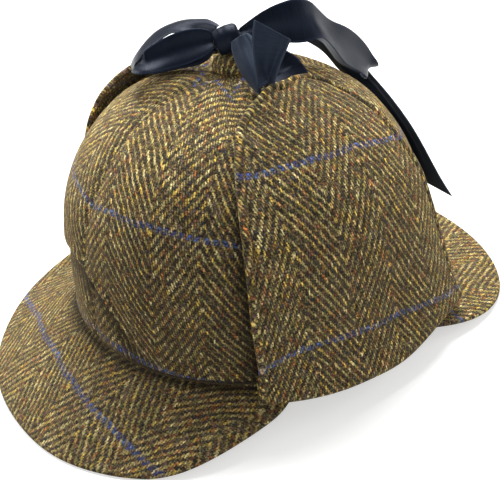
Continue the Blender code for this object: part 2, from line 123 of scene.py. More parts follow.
class Curve:
    """The natural cubic through a few keys, for single numbers or whole arrays."""

    def __init__(self, keys: Sequence[float], values: Sequence[float]) -> None:
        """Solves for the bend at each key.

        Args:
            keys: where the values hold, rising.
            values: the curve's value at each key.
        """
        self.keys = np.array(keys, dtype=float)
        self.values = np.array(values, dtype=float)
        step = np.diff(self.keys)
        slope = np.diff(self.values) / step
        system = np.eye(len(self.keys))
        bend = np.zeros(len(self.keys))
        for i in range(1, len(self.keys) - 1):
            system[i, i - 1:i + 2] = step[i - 1], 2 * (step[i - 1] + step[i]), step[i]
            bend[i] = 6 * (slope[i] - slope[i - 1])
        self.step = step
        self.second = np.linalg.solve(system, bend)

    def __call__(self, at: Array) -> Array:
        """The curve's value at one or many places.

        Args:
            at: the places, held within the first and last key.
        Returns:
            The values there, in the same shape.
        """
        at = np.clip(at, self.keys[0], self.keys[-1])
        i = np.clip(np.searchsorted(self.keys, at, side="right") - 1, 0, len(self.keys) - 2)
        left, right, width = at - self.keys[i], self.keys[i + 1] - at, self.step[i]
        return (
            (self.second[i] * right ** 3 + self.second[i + 1] * left ** 3) / (6 * width)
            + (self.values[i] / width - self.second[i] * width / 6) * right
            + (self.values[i + 1] / width - self.second[i + 1] * width / 6) * left
        )


def signed(angle: Array) -> Array:
    """Angles brought between -180 and 180 degrees, 0 in front."""
    return (angle + 180) % 360 - 180


def crowded(count: int, even: float, crowd: float) -> Array:
    """Shares from 0 to 1 that lie closer together towards both ends, where cloth is sewn or turned."""
    ease = np.linspace(-1, 1, count)
    return 0.5 + 0.5 * (ease * even + np.sign(ease) * (1 - (1 - np.abs(ease)) ** 1.8) * crowd)


def outward(angle: Array) -> Array:
    """Level direction away from the hat's middle, for angles in degrees from the front."""
    turn = np.radians(angle)
    return np.stack([np.sin(turn), -np.cos(turn), np.zeros_like(turn)], -1)


# ---------------------------------------------------------------- materials
@dataclass(frozen=True)
class Signal:
    """One value running through a material, so that its sums can be written as sums."""
    tree: Tree
    socket: bpy.types.NodeSocket

    def calc(self, operation: str, *others: "Signal | float") -> "Signal":
        """Passes this value, and any others, through one Math node."""
        inputs = {0: self, **{i + 1: other for i, other in enumerate(others)}}
        return add_node(self.tree, "ShaderNodeMath", inputs, operation=operation)

    def __add__(self, other: "Signal | float") -> "Signal":
        """The sum of two values."""
        return self.calc("ADD", other)

    def __sub__(self, other: "Signal | float") -> "Signal":
        """The difference of two values."""
        return self.calc("SUBTRACT", other)

    def __mul__(self, other: "Signal | float") -> "Signal":
        """The product of two values."""
        return self.calc("MULTIPLY", other)

    def __truediv__(self, other: "Signal | float") -> "Signal":
        """One value over another."""
        return self.calc("DIVIDE", other)

    def out(self, name: str) -> "Signal":
        """Another output of the node that this value comes from."""
        return Signal(self.tree, self.socket.node.outputs[name])


def add_node(tree: Tree, kind: str, inputs: dict | None = None, **settings) -> Signal:
    """Adds a node with its settings and links.

    Args:
        tree: the node tree.
        kind: the node's type name.
        inputs: what goes into each input, a Signal or a plain value, by name or number.
        settings: the node's own properties.
    Returns:
        The node's first output.
    """
    node = tree.nodes.new(kind)
    for name, value in settings.items():
        setattr(node, name, value)
    for name, value in (inputs or {}).items():
        if isinstance(value, Signal):
            tree.links.new(value.socket, node.inputs[name])
        else:
            node.inputs[name].default_value = value
    return Signal(tree, node.outputs[0]) if len(node.outputs) else Signal(tree, None)


def blend(tree: Tree, share: Signal, first: Signal | tuple, second: Signal | tuple) -> Signal:
    """Mixes two colours."""
    mixed = add_node(tree, "ShaderNodeMix", {0: share, 6: first, 7: second}, data_type="RGBA")
    return Signal(tree, mixed.socket.node.outputs[2])


def speckle(tree: Tree, place: Signal, scale: float, detail: float = 2.0,
            rough: float = 0.5) -> Signal:
    """Soft noise, whose scale is counted for each unit of the place."""
    inputs = {"Vector": place, "Scale": scale, "Detail": detail, "Roughness": rough}
    return add_node(tree, "ShaderNodeTexNoise", inputs)


def vector(tree: Tree, x: Signal, y: Signal, z: Signal | float = 0.0) -> Signal:
    """Three values brought together as one place."""
    return add_node(tree, "ShaderNodeCombineXYZ", {0: x, 1: y, 2: z})


def relief(tree: Tree, height: Signal, strength: float, depth: float) -> Signal:
    """Small ups and downs, whose depth is in metres."""
    return add_node(tree, "ShaderNodeBump", {"Height": height, "Strength": strength, "Distance": depth})


def surface_of(tree: Tree, look: dict) -> None:
    """Ends a material with one shader."""
    shader = add_node(tree, "ShaderNodeBsdfPrincipled", look)
    add_node(tree, "ShaderNodeOutputMaterial", {"Surface": shader})


def new_material(name: str) -> Material:
    """An empty node material.

    Args:
        name: what the finish is.
    Returns:
        The material, with no nodes in it.
    """
    material = bpy.data.materials.new(name)
    material.use_nodes = True
    material.node_tree.nodes.clear()
    return material


class Wander(NamedTuple):
    """How the woven yarns stray: the noise's scale and detail, and the most they move, in millimetres."""
    scale: float
    detail: float
    across: float
    along: float


class Yarns(NamedTuple):
    """The yarns that cross at one place of the weave, each counted in yarns."""
    across: Signal
    along: Signal
    steady: Signal  # along, without the floats' ragged outline
    column: Signal
    end: Signal  # the warp yarn
    end_part: Signal  # how far across it
    pick: Signal  # the weft yarn
    pick_part: Signal
    step: Signal  # place in the twill's repeat
    weft_up: Signal  # 1 where the weft lies on top
    hair: Signal


@dataclass(frozen=True)
class Tweed:
    """Herringbone wool tweed, woven two over and two under.

    Each warp yarn shows as short upright floats in straw, olive, cream and russet over a nearly black
    weft, so the eye reads steep broken lines that turn back at every column. A few blue weft yarns make
    the overcheck, and loose fibres blur it all.
    """
    name: str = "herringbone_wool_tweed"
    end_pitch: float = 1.03  # millimetres from one warp yarn to the next
    pick_pitch: float = 1.68  # millimetres from one weft yarn to the next
    column_ends: int = 27  # warp yarns in one column before the twill turns back
    check_picks: int = 54  # weft yarns from one line of the overcheck to the next
    check_width: int = 2  # weft yarns in one line
    over: float = 2.0  # yarns that each float passes over
    twist: float = 0.55  # how far a float leans across its own yarn
    weft_height: float = 0.8  # height of a weft float beside a warp float
    drift: Wander = Wander(0.035, 1.0, 4.0, 4.0)  # the slow pull of the whole weave
    wave: Wander = Wander(0.20, 2.0, 1.6, 2.2)  # its waviness within a column
    hair: Wander = Wander(1.1, 2.0, 1.6, 2.8)  # the ragged outline of each float
    trough: float = 0.33  # tone in the gaps between the yarns
    crown_gain: float = 1.26  # what the top of a float adds to it
    luck_gain: float = 0.95  # how much the floats differ in tone
    column_draw: tuple = (31.0, 3.0)  # sets one column's colour draws apart from the next column's
    check_show: float = 0.28  # share of the overcheck's blue on the warp that crosses it
    fuzz_across: Pair = (1.3, 0.9)  # how askew the loose fibres lie, in turns for each yarn across and along
    fuzz_along: Pair = (0.4, 1.1)
    fuzz_rough: Pair = (3.0, 0.7)  # their noise's detail and roughness
    fuzz_weft: Pair = (0.25, 0.75)  # how much more they cover a weft float, and their share on a warp float
    fuzz_draw: Pair = (2.2, 0.6)  # spreads their colours over the noise
    fuzz_from: float = 0.49  # noise value over which loose fibres cover the weave
    fuzz_gain: float = 6.0
    fuzz_most: float = 0.6  # the most that they cover
    fibre_lie: tuple = (1.9, 1.5, 0.9, 5.0)  # the grain of the yarn: skew, lean, length, shift on the weft
    fibre_gain: Pair = (1.5, 0.25)  # contrast and least tone of that grain
    cloud_scale: float = 0.07  # the broad uneven shade of the cloth, in turns for each millimetre
    cloud_detail: float = 3.0
    cloud_gain: Pair = (0.5, 0.75)
    middle_luck: float = 0.98  # tone of the middling float
    speck_scale: float = 0.95
    speck_gain: float = 4.6  # contrast of the small dark gaps between tufts
    speck_from: float = 1.25
    speck_least: float = 0.22  # tone in the darkest gap
    warp: tuple[str, ...] = (
        "#4a3c28", "#a8965a", "#7c7040", "#cfbf86", "#6c6a40", "#b0924a", "#c8aa4c",
        "#5c4638", "#b09a68", "#8a8448", "#c4b074", "#9a5a2c", "#9a8a58", "#5e5846",
    )
    weft: tuple[str, ...] = (
        "#171310", "#3e3024", "#1a1e26", "#5a4240", "#262c36",
        "#5c5236", "#6e3c28", "#384230", "#302634", "#4a4034",
    )
    check: tuple[str, ...] = ("#242f60", "#334a88", "#446698", "#28336e", "#3a569c")
    fuzz: tuple[str, ...] = ("#4a3f30", "#8c7c4c", "#545a40", "#a89a60", "#8a5a38", "#3a3230", "#7c7440")

    def ramp(self, tree: Tree, value: Signal, codes: Sequence[str]) -> Signal:
        """Spreads a run of colours evenly over a value between 0 and 1.

        Args:
            tree: the material's nodes.
            value: what picks the colour.
            codes: the colours, in sRGB hex.
        Returns:
            The colour.
        """
        found = add_node(tree, "ShaderNodeValToRGB", {0: value})
        stops = found.socket.node.color_ramp
        for i, code in enumerate(codes):
            place = i / (len(codes) - 1)
            stop = stops.elements[i] if i < 2 else stops.elements.new(place)
            stop.position = place
            stop.color = linear(code)
        return found

    def stray(self, tree: Tree, place: Signal, wander: Wander) -> Signal:
        """Three noise values, of which the first two move the yarns."""
        found = speckle(tree, place, wander.scale, wander.detail)
        return add_node(tree, "ShaderNodeSeparateColor", {0: found.out("Color")})

    def make(self) -> Material:
        """Builds the cloth's material.

        Returns:
            The material, which reads the piece's own UV map of cloth millimetres.
        """
        material = new_material(self.name)
        tree = material.node_tree
        place = add_node(tree, "ShaderNodeUVMap", uv_map="cloth")
        yarns = self.lay(tree, place)
        height = self.float_height(tree, yarns)
        draw = add_node(tree, "ShaderNodeTexWhiteNoise", {"Vector": self.float_number(tree, yarns)},
                        noise_dimensions="3D")
        luck = add_node(tree, "ShaderNodeSeparateColor", {0: draw.out("Color")})
        colour = self.cover(tree, yarns, self.colours(tree, yarns, luck))
        tone = self.tone(tree, yarns, place, height, luck)
        shaded = add_node(tree, "ShaderNodeVectorMath", {0: colour, "Scale": tone}, operation="SCALE")
        surface_of(tree, {
            "Base Color": shaded,
            "Roughness": 0.93,
            "Specular IOR Level": 0.22,
            "Sheen Weight": 0.22,
            "Sheen Roughness": 0.50,
            "Sheen Tint": linear("#dcbe88"),
            "Normal": relief(tree, height, 0.7, 0.0004),
        })
        return material

    def lay(self, tree: Tree, place: Signal) -> Yarns:
        """Lays the yarns: which warp and weft yarn cross here, and which of them lies on top.

        Args:
            tree: the material's nodes.
            place: the place on the cloth, in millimetres.
        Returns:
            The yarns that cross there.
        """
        split = add_node(tree, "ShaderNodeSeparateXYZ", {0: place})
        pull, jog, hair = (self.stray(tree, place, wander) for wander in (self.drift, self.wave, self.hair))
        across = split + (pull - 0.5) * self.drift.across + (jog - 0.5) * self.wave.across
        across = (across + (hair - 0.5) * self.hair.across) / self.end_pitch
        along = split.out("Y") + (pull.out("Green") - 0.5) * self.drift.along
        along = along + (jog.out("Green") - 0.5) * self.wave.along
        steady = along / self.pick_pitch + self.check_width / 2
        along = steady + (hair.out("Green") - 0.5) * (self.hair.along / self.pick_pitch)
        column = (across / float(self.column_ends)).calc("FLOOR")
        folded = across.calc("PINGPONG", float(self.column_ends))
        end, end_part = folded.calc("FLOOR"), folded.calc("FRACT")
        pick, pick_part = along.calc("FLOOR"), along.calc("FRACT")
        step = (end + pick).calc("FLOORED_MODULO", 2 * self.over)
        weft_up = step.calc("GREATER_THAN", self.over - 0.5)
        return Yarns(across, along, steady, column, end, end_part, pick, pick_part, step, weft_up, hair)

    def float_height(self, tree: Tree, yarns: Yarns) -> Signal:
        """How high the float on top stands here: round across itself, and bowed along its run.

        Args:
            tree: the material's nodes.
            yarns: the yarns that cross there.
        Returns:
            The height, from 0 in the gaps to 1 on top of a float.
        """
        warp_run = (yarns.step + yarns.pick_part) / self.over
        weft_run = (yarns.step - self.over + yarns.end_part) / self.over
        lean = (warp_run - 0.5) * self.twist
        side = add_node(tree, "ShaderNodeClamp", {0: yarns.across.calc("FRACT") + lean, 1: 0.0, 2: 1.0})
        warp = (side * math.pi).calc("SINE") * (warp_run * math.pi).calc("SINE").calc("MAXIMUM", 0.0)
        weft = (yarns.pick_part * math.pi).calc("SINE") * (weft_run * math.pi).calc("SINE") * self.weft_height
        height = add_node(tree, "ShaderNodeMix", {0: yarns.weft_up, 2: warp, 3: weft})
        return height.calc("MAXIMUM", 0.0)

    def float_number(self, tree: Tree, yarns: Yarns) -> Signal:
        """A place of its own for each float, from which it draws its colour and tone.

        Args:
            tree: the material's nodes.
            yarns: the yarns that cross there.
        Returns:
            The place, which is the same all over one float.
        """
        warp, weft = yarns.end + yarns.column * self.column_draw[0], yarns.pick + 0.5
        yarn = add_node(tree, "ShaderNodeMix", {0: yarns.weft_up, 2: warp, 3: weft})
        number = ((yarns.end + yarns.pick) / (2 * self.over)).calc("FLOOR")
        return vector(tree, yarn, number, yarns.weft_up + yarns.column * self.column_draw[1])

    def colours(self, tree: Tree, yarns: Yarns, luck: Signal) -> Signal:
        """The dyed yarns' colours, with the overcheck's blue on its own weft yarns.

        Args:
            tree: the material's nodes.
            yarns: the yarns that cross there.
            luck: the float's own draw.
        Returns:
            The colour of the yarn on top.
        """
        line = yarns.steady.calc("FLOORED_MODULO", float(self.check_picks))
        line = line.calc("LESS_THAN", float(self.check_width))
        dark = blend(tree, line, self.ramp(tree, luck, self.weft), self.ramp(tree, luck, self.check))
        pale = self.ramp(tree, luck, self.warp)
        pale = blend(tree, line * self.check_show, pale, linear(self.check[1]))
        return blend(tree, yarns.weft_up, pale, dark)

    def cover(self, tree: Tree, yarns: Yarns, colour: Signal) -> Signal:
        """Lays loose fibres askew over the weave.

        Args:
            tree: the material's nodes.
            yarns: the yarns that cross there.
            colour: the colour of the yarn on top.
        Returns:
            The colour with the fibres over it.
        """
        across, along, weft_up = yarns.across, yarns.along, yarns.weft_up
        first, second = self.fuzz_across, self.fuzz_along
        askew = vector(tree, across * first[0] - along * first[1], along * second[1] + across * second[0])
        hazy = (speckle(tree, askew, 1.0, *self.fuzz_rough) - self.fuzz_from) * self.fuzz_gain
        hazy = hazy.calc("MAXIMUM", 0.0).calc("MINIMUM", self.fuzz_most)
        hazy = hazy * (weft_up * self.fuzz_weft[0] + self.fuzz_weft[1])
        pick = yarns.hair.out("Blue") * self.fuzz_draw[0] - self.fuzz_draw[1]
        return blend(tree, hazy, colour, self.ramp(tree, pick, self.fuzz))

    def tone(self, tree: Tree, yarns: Yarns, place: Signal, height: Signal, luck: Signal) -> Signal:
        """Dark in the gaps and pale on the floats, with the piece's painted shade and painted highlights over
        all.

        Args:
            tree: the material's nodes.
            yarns: the yarns that cross there.
            place: the place on the cloth, in millimetres.
            height: how high the float on top stands.
            luck: the float's own draw.
        Returns:
            What the colour is multiplied by.
        """
        across, along, weft_up = yarns.across, yarns.along, yarns.weft_up
        skew, lean, length, shift = self.fibre_lie
        grain = vector(tree, across * skew + along * lean, along * length, weft_up * shift)
        fibre = speckle(tree, grain, 1.0)
        cloudy = speckle(tree, place, self.cloud_scale, self.cloud_detail)
        speck = speckle(tree, place, self.speck_scale)
        tone = height * self.crown_gain + self.trough
        tone = tone * (luck.out("Green") * self.luck_gain + self.middle_luck - self.luck_gain / 2)
        tone = tone * (fibre * self.fibre_gain[0] + self.fibre_gain[1])
        tone = tone * (cloudy * self.cloud_gain[0] + self.cloud_gain[1])
        tone = tone * (speck * self.speck_gain - self.speck_from).calc("MAXIMUM", self.speck_least)
        # the piece's tone attribute carries its painted shade and painted highlights
        return tone * add_node(tree, "ShaderNodeAttribute", attribute_name="tone").out("Fac")


@dataclass(frozen=True)
class Satin:
    """Blue-black satin ribbon with fine cross ribs.

    The ribs run across the strip and stretch each highlight along it, so the turns of the bow flash pale
    grey while the flat runs stay nearly black.
    """
    name: str = "ribbed_satin_ribbon"
    colour: str = "#080d16"
    thread: str = "#1b2333"
    gloss: float = 0.30  # roughness of the smoothest threads
    sheen: float = 0.05
    rib: float = 0.8  # millimetres from rib to rib
    half_width: float = 12.5
    selvedge: float = 0.9  # width of the firm edge
    slub: Pair = (0.08, 1.4)  # streaks in the thread: turns for each millimetre across and along
    paleness: tuple = (0.38, 0.8, 0.7)  # streaks' level and gain, and the selvedge's, towards the pale thread
    height: tuple = (0.7, 0.6, 0.5)  # of the ribs, the streaks and the selvedge
    gloss_spread: float = 0.16  # how much the streaks add to the roughness

    def make(self) -> Material:
        """Builds the ribbon's material.

        Returns:
            The material, which reads the piece's own UV map of ribbon millimetres.
        """
        material = new_material(self.name)
        tree = material.node_tree
        place = add_node(tree, "ShaderNodeUVMap", uv_map="cloth")
        split = add_node(tree, "ShaderNodeSeparateXYZ", {0: place})
        ribs = (split.out("Y") * (2 * math.pi / self.rib)).calc("SINE") * 0.5 + 0.5
        slub = speckle(tree, vector(tree, split * self.slub[0], split.out("Y") * self.slub[1]), 1.0)
        selvedge = split.calc("ABSOLUTE").calc("GREATER_THAN", self.half_width - self.selvedge)
        height = ribs * self.height[0] + slub * self.height[1] + selvedge * self.height[2]
        level, streaks, edge = self.paleness
        paler = (slub - level) * streaks + selvedge * edge
        surface_of(tree, {
            "Base Color": blend(tree, paler, linear(self.colour), linear(self.thread)),
            "Roughness": slub * self.gloss_spread + self.gloss,
            "Specular IOR Level": 0.15,
            "Specular Tint": linear("#c8d4f4"),
            "Anisotropic": 0.35,
            "Sheen Weight": self.sheen,
            "Sheen Roughness": 0.45,
            "Sheen Tint": linear("#9aa4b8"),
            "Normal": relief(tree, height, 0.35, 0.0002),
        })
        return material


# ---------------------------------------------------------------- meshes
@dataclass
class Cut:
    """A grid of cloth: where each point lies, where it was on the flat cloth, and its tone.

    The tone is painted light: below 1 for painted shade in folds, seams and beside other parts, above 1 for
    painted highlights.
    """
    points: Array
    cloth: Array
    tone: Array | None = None


def put_in_scene(name: str, data: bpy.types.ID) -> bpy.types.Object:
    """Puts an object in the scene.

    Args:
        name: the object's name.
        data: its mesh, lamp or camera.
    Returns:
        The object.
    """
    found = bpy.data.objects.new(name, data)
    bpy.context.scene.collection.objects.link(found)
    return found


def along_of(points: Array, axis: int) -> Array:
    """Distance travelled along one axis of a grid of points.

    Args:
        points: the grid.
        axis: 0 from row to row, 1 from column to column.
    Returns:
        The distance to each point, 0 at the first.
    """
    run = np.linalg.norm(np.diff(points, axis=axis), axis=-1)
    lead = np.zeros_like(np.take(run, [0], axis=axis))
    return np.concatenate([lead, np.cumsum(run, axis=axis)], axis=axis)


def turned_faces(rings: int, sides: int) -> list[list[int]]:
    """Faces of a form turned round an axis, whose two end points come after its rings.

    Args:
        rings: how many rings of points it has.
        sides: points in one ring.
    Returns:
        The points of each face, by number.
    """
    faces, last = [], (rings - 1) * sides
    for i in range(sides):
        j = (i + 1) % sides
        faces += [[r + i, r + sides + i, r + sides + j, r + j] for r in range(0, last, sides)]
        faces += [[rings * sides, i, j], [rings * sides + 1, last + j, last + i]]
    return faces


@dataclass
class Workroom:
    """Turns cuts of cloth into closed pieces with rounded edges, and hands them to the frame."""
    rim_steps: int = 4
    heart: tuple = (0.0, 0.0, 60.0)  # a point inside the hat
    made: list[bpy.types.Object] = field(default_factory=list)

    def mirror(self, cut: Cut) -> Cut:
        """The same cut for the other side of the hat."""
        points = cut.points[:, ::-1] * np.array([-1.0, 1.0, 1.0])
        return Cut(points, cut.cloth[:, ::-1], None if cut.tone is None else cut.tone[:, ::-1])

    def normals(self, points: Array, facing: Facing) -> Array:
        """Directions square to a grid of points, on its outer face.

        Args:
            points: the grid.
            facing: which way its outer face lies.
        Returns:
            A direction of length 1 for each point.
        """
        across = np.gradient(points, axis=1)
        upward = np.gradient(points, axis=0)
        normal = unit(np.cross(across, upward))
        if facing is Facing.AWAY_FROM_MIDDLE:
            if np.sum(normal * (points - np.array(self.heart))) < 0:
                normal = -normal
        elif facing is Facing.UPWARDS and np.sum(normal[..., 2]) < 0:
            normal = -normal
        return normal

    def shell(self, name: str, cut: Cut, thickness: float, outer: float, facing: Facing) -> bpy.types.Mesh:
        """Closes a cut into a solid sheet whose edges are round.

        Args:
            name: the mesh's name.
            cut: the grid of cloth.
            thickness: of the cloth, in millimetres.
            outer: share of the thickness that lies outside the grid.
            facing: which way its outer face lies.
        Returns:
            The finished mesh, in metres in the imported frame.
        """
        points, cloth = cut.points, cut.cloth
        tone = np.ones(points.shape[:2]) if cut.tone is None else cut.tone
        normal = self.normals(points, facing)
        if np.sum(np.cross(np.gradient(points, axis=1), np.gradient(points, axis=0)) * normal) < 0:
            points, cloth, normal, tone = points[:, ::-1], cloth[:, ::-1], normal[:, ::-1], tone[:, ::-1]
        middle = points + normal * thickness * (outer - 0.5)
        rows, columns = points.shape[:2]
        row, column = np.meshgrid(np.arange(rows), np.arange(columns), indexing="ij")
        number = row * columns + column
        loop = np.concatenate([number[0, :-1], number[:-1, -1], number[-1, :0:-1], number[:0:-1, 0]])
        out_row = (row == rows - 1).astype(float) - (row == 0)
        out_column = (column == columns - 1).astype(float) - (column == 0)
        step_row = unit(np.gradient(points, axis=0))
        step_column = unit(np.gradient(points, axis=1))
        away = step_row * out_row[..., None] + step_column * out_column[..., None]
        away = unit(away - normal * np.sum(away * normal, -1, keepdims=True))
        slip_row = unit(np.gradient(cloth, axis=0))
        slip_column = unit(np.gradient(cloth, axis=1))
        slip = unit(slip_row * out_row[..., None] + slip_column * out_column[..., None])
        flat_middle, flat_normal = middle.reshape(-1, 3), normal.reshape(-1, 3)
        flat_cloth = cloth.reshape(-1, 2)
        half = thickness / 2
        verts = [flat_middle + flat_normal * half]
        maps = [flat_cloth]
        tones = [tone.ravel()] + [tone.ravel()[loop]] * (self.rim_steps - 1) + [tone.ravel()]
        for i in range(1, self.rim_steps):
            turn = math.pi * i / self.rim_steps
            ring = flat_middle[loop] + flat_normal[loop] * half * math.cos(turn)
            verts.append(ring + away.reshape(-1, 3)[loop] * half * math.sin(turn))
            maps.append(flat_cloth[loop] + slip.reshape(-1, 2)[loop] * half * math.sin(turn))
        verts.append(flat_middle - flat_normal * half)
        maps.append(flat_cloth)
        count, around = rows * columns, len(loop)
        inner = count + around * (self.rim_steps - 1)
        a, b = number[:-1, :-1].ravel(), number[:-1, 1:].ravel()
        c, d = number[1:, 1:].ravel(), number[1:, :-1].ravel()
        faces = [np.stack([a, b, c, d], -1), np.stack([a, d, c, b], -1) + inner]
        between = [count + around * i + np.arange(around) for i in range(self.rim_steps - 1)]
        rings = [loop, *between, loop + inner]
        for near, far in zip(rings, rings[1:]):
            faces.append(np.stack([np.roll(near, -1), near, far, np.roll(far, -1)], -1))
        mesh = self.mesh(name, np.concatenate(verts), np.concatenate(faces), np.concatenate(maps))
        mesh.attributes["tone"].data.foreach_set("value", np.concatenate(tones).astype(np.float32))
        return mesh

    def mesh(self, name: str, verts: Array, faces: Sequence, cloth: Array) -> bpy.types.Mesh:
        """Makes a smooth mesh from points in millimetres, with its cloth map.

        Args:
            name: the mesh's name.
            verts: its points.
            faces: the points of each face, by number.
            cloth: where each point was on the flat cloth.
        Returns:
            The mesh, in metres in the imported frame.
        """
        mesh = bpy.data.meshes.new(name)
        mesh.from_pydata(((verts + MIDDLE) * MM).tolist(), [], [list(map(int, f)) for f in faces])
        layer = mesh.uv_layers.new(name="cloth")
        corners = np.empty(len(mesh.loops), dtype=np.int64)
        mesh.loops.foreach_get("vertex_index", corners)
        layer.data.foreach_set("uv", cloth[corners].astype(np.float32).ravel())
        mesh.attributes.new("tone", "FLOAT", "POINT").data.foreach_set("value", [1.0] * len(mesh.vertices))
        mesh.polygons.foreach_set("use_smooth", [True] * len(mesh.polygons))
        mesh.update()
        return mesh

    def hand_over(self, name: str, mesh: bpy.types.Mesh, material: Material, slot: Slot,
                  *nodes: str) -> bpy.types.Object:
        """Puts a piece in the scene, on the hat's body, in place of the nodes it stands for.

        Args:
            name: the piece's name.
            mesh: its mesh, already in place.
            material: its finish.
            slot: the record's slot for that finish; not used.
            nodes: the CAD nodes that it replaces.
        Returns:
            The piece.
        """
        mesh.materials.append(material)
        piece = put_in_scene(name, mesh)
        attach(piece, "root")
        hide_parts(*nodes)
        self.made.append(piece)
        log.info("%s: %d faces", name, len(mesh.polygons))
        return piece


# ---------------------------------------------------------------- crown
@dataclass(frozen=True)
class CrownForm:
    """The outer face of the crown, without its seams."""
    half_length: float = 104.0
    half_width: float = 94.0
    roundness: float = 2.15
    rim_height: float = 22.0
    front_rise: float = 12.6
    rear_drop: float = 15.0
    height: float = 142.0
    set_back: float = 4.8
    forward_fill: float = 6.2
    shoulder_radius: float = 100.0
    shoulder_reach: float = 80.0
    lip_out: float = 0.8  # how far the front overhang stands out over its crease
    lip_fade: float = 34.0  # height over the crease at which it has gone
    ridge: float = 1.0  # how far the fold's rolled edge stands out over the rest
    ridge_at: float = 3.0
    ridge_width: float = 2.8
    valley: float = 0.9  # how far the cloth dips behind the roll
    valley_at: float = 11.0
    valley_width: float = 5.0
    undercut: float = 5.0  # how far the wall below the crease is drawn in
    undercut_fade: float = 36.0
    crease_width: float = 1.3
    rim_fade: float = 14.0
    shadow: float = 0.96  # share of the tone lost right under the overhang, a painted shadow
    shadow_range: Pair = (-26.0, -10.0)  # heights from the overhang's edge over which the shadow deepens
    shadow_end: Pair = (0.0, 1.5)  # and over which it ends
    ridge_highlight: float = 0.55  # share by which the fold's rolled edge is paler, a painted highlight
    lean: float = 1.5  # power by which the crown leans back as it rises
    probe: Pair = (0.4, 0.004)  # steps in degrees and in share along, by which its slope is measured
    profile: Rows = (  # height, share of the rim's radius
        (0, 0.985), (14, 0.976), (28, 0.983), (45, 0.983), (62, 0.972), (80, 0.937),
        (97, 0.860), (112, 0.753), (125, 0.600), (134, 0.420), (140, 0.220), (142, 0.000),
    )
    crease: Rows = (  # angle, height, share of the undercut, share of the lip
        (-52, 46, 0.0, 0.0), (-34, 48, 0.2, 0.0), (-20, 51.5, 0.6, 0.1), (-11, 54, 0.9, 0.3),
        (-5, 53, 1.0, 0.7), (2, 49, 1.0, 1.0), (6, 45, 1.0, 1.0), (10, 39, 1.0, 1.0),
        (13, 32, 0.95, 0.9), (16, 23, 0.8, 0.7), (20, 14, 0.5, 0.4), (30, 5, 0.0, 0.0),
    )

    def __post_init__(self) -> None:
        """Measures the profile along the cloth and fits the curves."""
        rows = np.array(self.profile)
        mean_radius = (self.half_length + self.half_width) / 2
        run = np.hypot(np.diff(rows[:, 0]), np.diff(rows[:, 1]) * mean_radius)
        lengths = np.concatenate([[0.0], np.cumsum(run)])
        object.__setattr__(self, "length", float(lengths[-1]))
        object.__setattr__(self, "height_at", Curve(lengths / lengths[-1], rows[:, 0]))
        object.__setattr__(self, "share_at", Curve(lengths / lengths[-1], rows[:, 1]))

    def radius(self, angle: Array) -> Array:
        """Radius of the rim at an angle from the front.

        Args:
            angle: degrees from the front.
        Returns:
            The radius, in millimetres.
        """
        turn = np.radians(angle)
        side = np.abs(np.sin(turn) / self.half_width) ** self.roundness
        front = np.abs(np.cos(turn) / self.half_length) ** self.roundness
        return (side + front) ** (-1 / self.roundness)

    def rise(self, angle: Array) -> Array:
        """How far the rim is lifted in front, or let down behind."""
        toward = np.cos(np.radians(angle))
        return np.where(toward > 0, self.front_rise, -self.rear_drop) * toward ** 2

    def fold_at(self, angle: Array, height: Array) -> tuple[Array, Array, Array]:
        """Height over the crease of the front fold, and the share of undercut and of lip there.

        Args:
            angle: degrees from the front.
            height: over the rim, in millimetres.
        Returns:
            The height over the crease, the share of the undercut and the share of the lip.
        """
        crease = np.array(self.crease)
        level, undercut, lip = (np.interp(signed(angle), crease[:, 0], crease[:, i]) for i in (1, 2, 3))
        return height - level, undercut, lip

    def sag(self, angle: Array, height: Array) -> Array:
        """How far the front overhang pushes the cloth out, above its crease, or in, below it.

        Args:
            angle: degrees from the front.
            height: over the rim, in millimetres.
        Returns:
            The push outwards, in millimetres.
        """
        off, undercut_share, lip_share = self.fold_at(angle, height)
        below = 1 - smooth_step(-self.crease_width, self.crease_width, off)
        undercut = below * (1 - smooth_step(self.crease_width, self.undercut_fade, -off))
        lip = (1 - below) * (1 - smooth_step(self.crease_width, self.lip_fade, off))
        roll = self.ridge * bump_at(off, self.ridge_at, self.ridge_width)
        roll = (roll - self.valley * bump_at(off, self.valley_at, self.valley_width)) * (1 - below)
        push = (self.lip_out * lip + roll) * lip_share
        pull = self.undercut * undercut * undercut_share
        return smooth_step(0, self.rim_fade, height) * (push - pull)

    def fold_shade_and_highlight(self, angle: Array, height: Array) -> Array:
        """Painted light on the nap: a painted shadow under the front overhang and a painted highlight along
        its rolled edge.

        Args:
            angle: degrees from the front.
            height: over the rim, in millimetres.
        Returns:
            The tone, 1 where the nap lies open.
        """
        off, dark, pale = self.fold_at(*np.broadcast_arrays(np.asarray(angle, float), height))
        shadow = smooth_step(*self.shadow_range, off) * (1 - smooth_step(*self.shadow_end, off))
        lit_ridge = bump_at(off, self.ridge_at, self.ridge_width)
        return 1 - self.shadow * dark * shadow + self.ridge_highlight * pale * lit_ridge

    def surface(self, angle: Array, along: Array) -> Array:
        """Points of the crown.

        Args:
            angle: degrees from the front towards the wearer's left.
            along: share of the way from the rim to the button, along the cloth.
        Returns:
            The points, in millimetres.
        """
        angle, along = np.broadcast_arrays(np.asarray(angle, float), np.asarray(along, float))
        height = self.height_at(along)
        radius = self.radius(angle) * self.share_at(along) + self.sag(angle, height)
        point = outward(angle) * radius[..., None]
        point[..., 1] += self.set_back * (np.maximum(height, 0) / self.height) ** self.lean
        point[..., 2] = self.rim_height + self.rise(angle) * (1 - height / self.height) + height
        shoulder = np.sin(math.pi * np.sqrt(np.clip(radius / self.shoulder_radius, 0.0, 1.0)))
        point[..., 2] -= self.forward_fill * shoulder * np.clip(point[..., 1] / self.shoulder_reach, -1, 1)
        return point

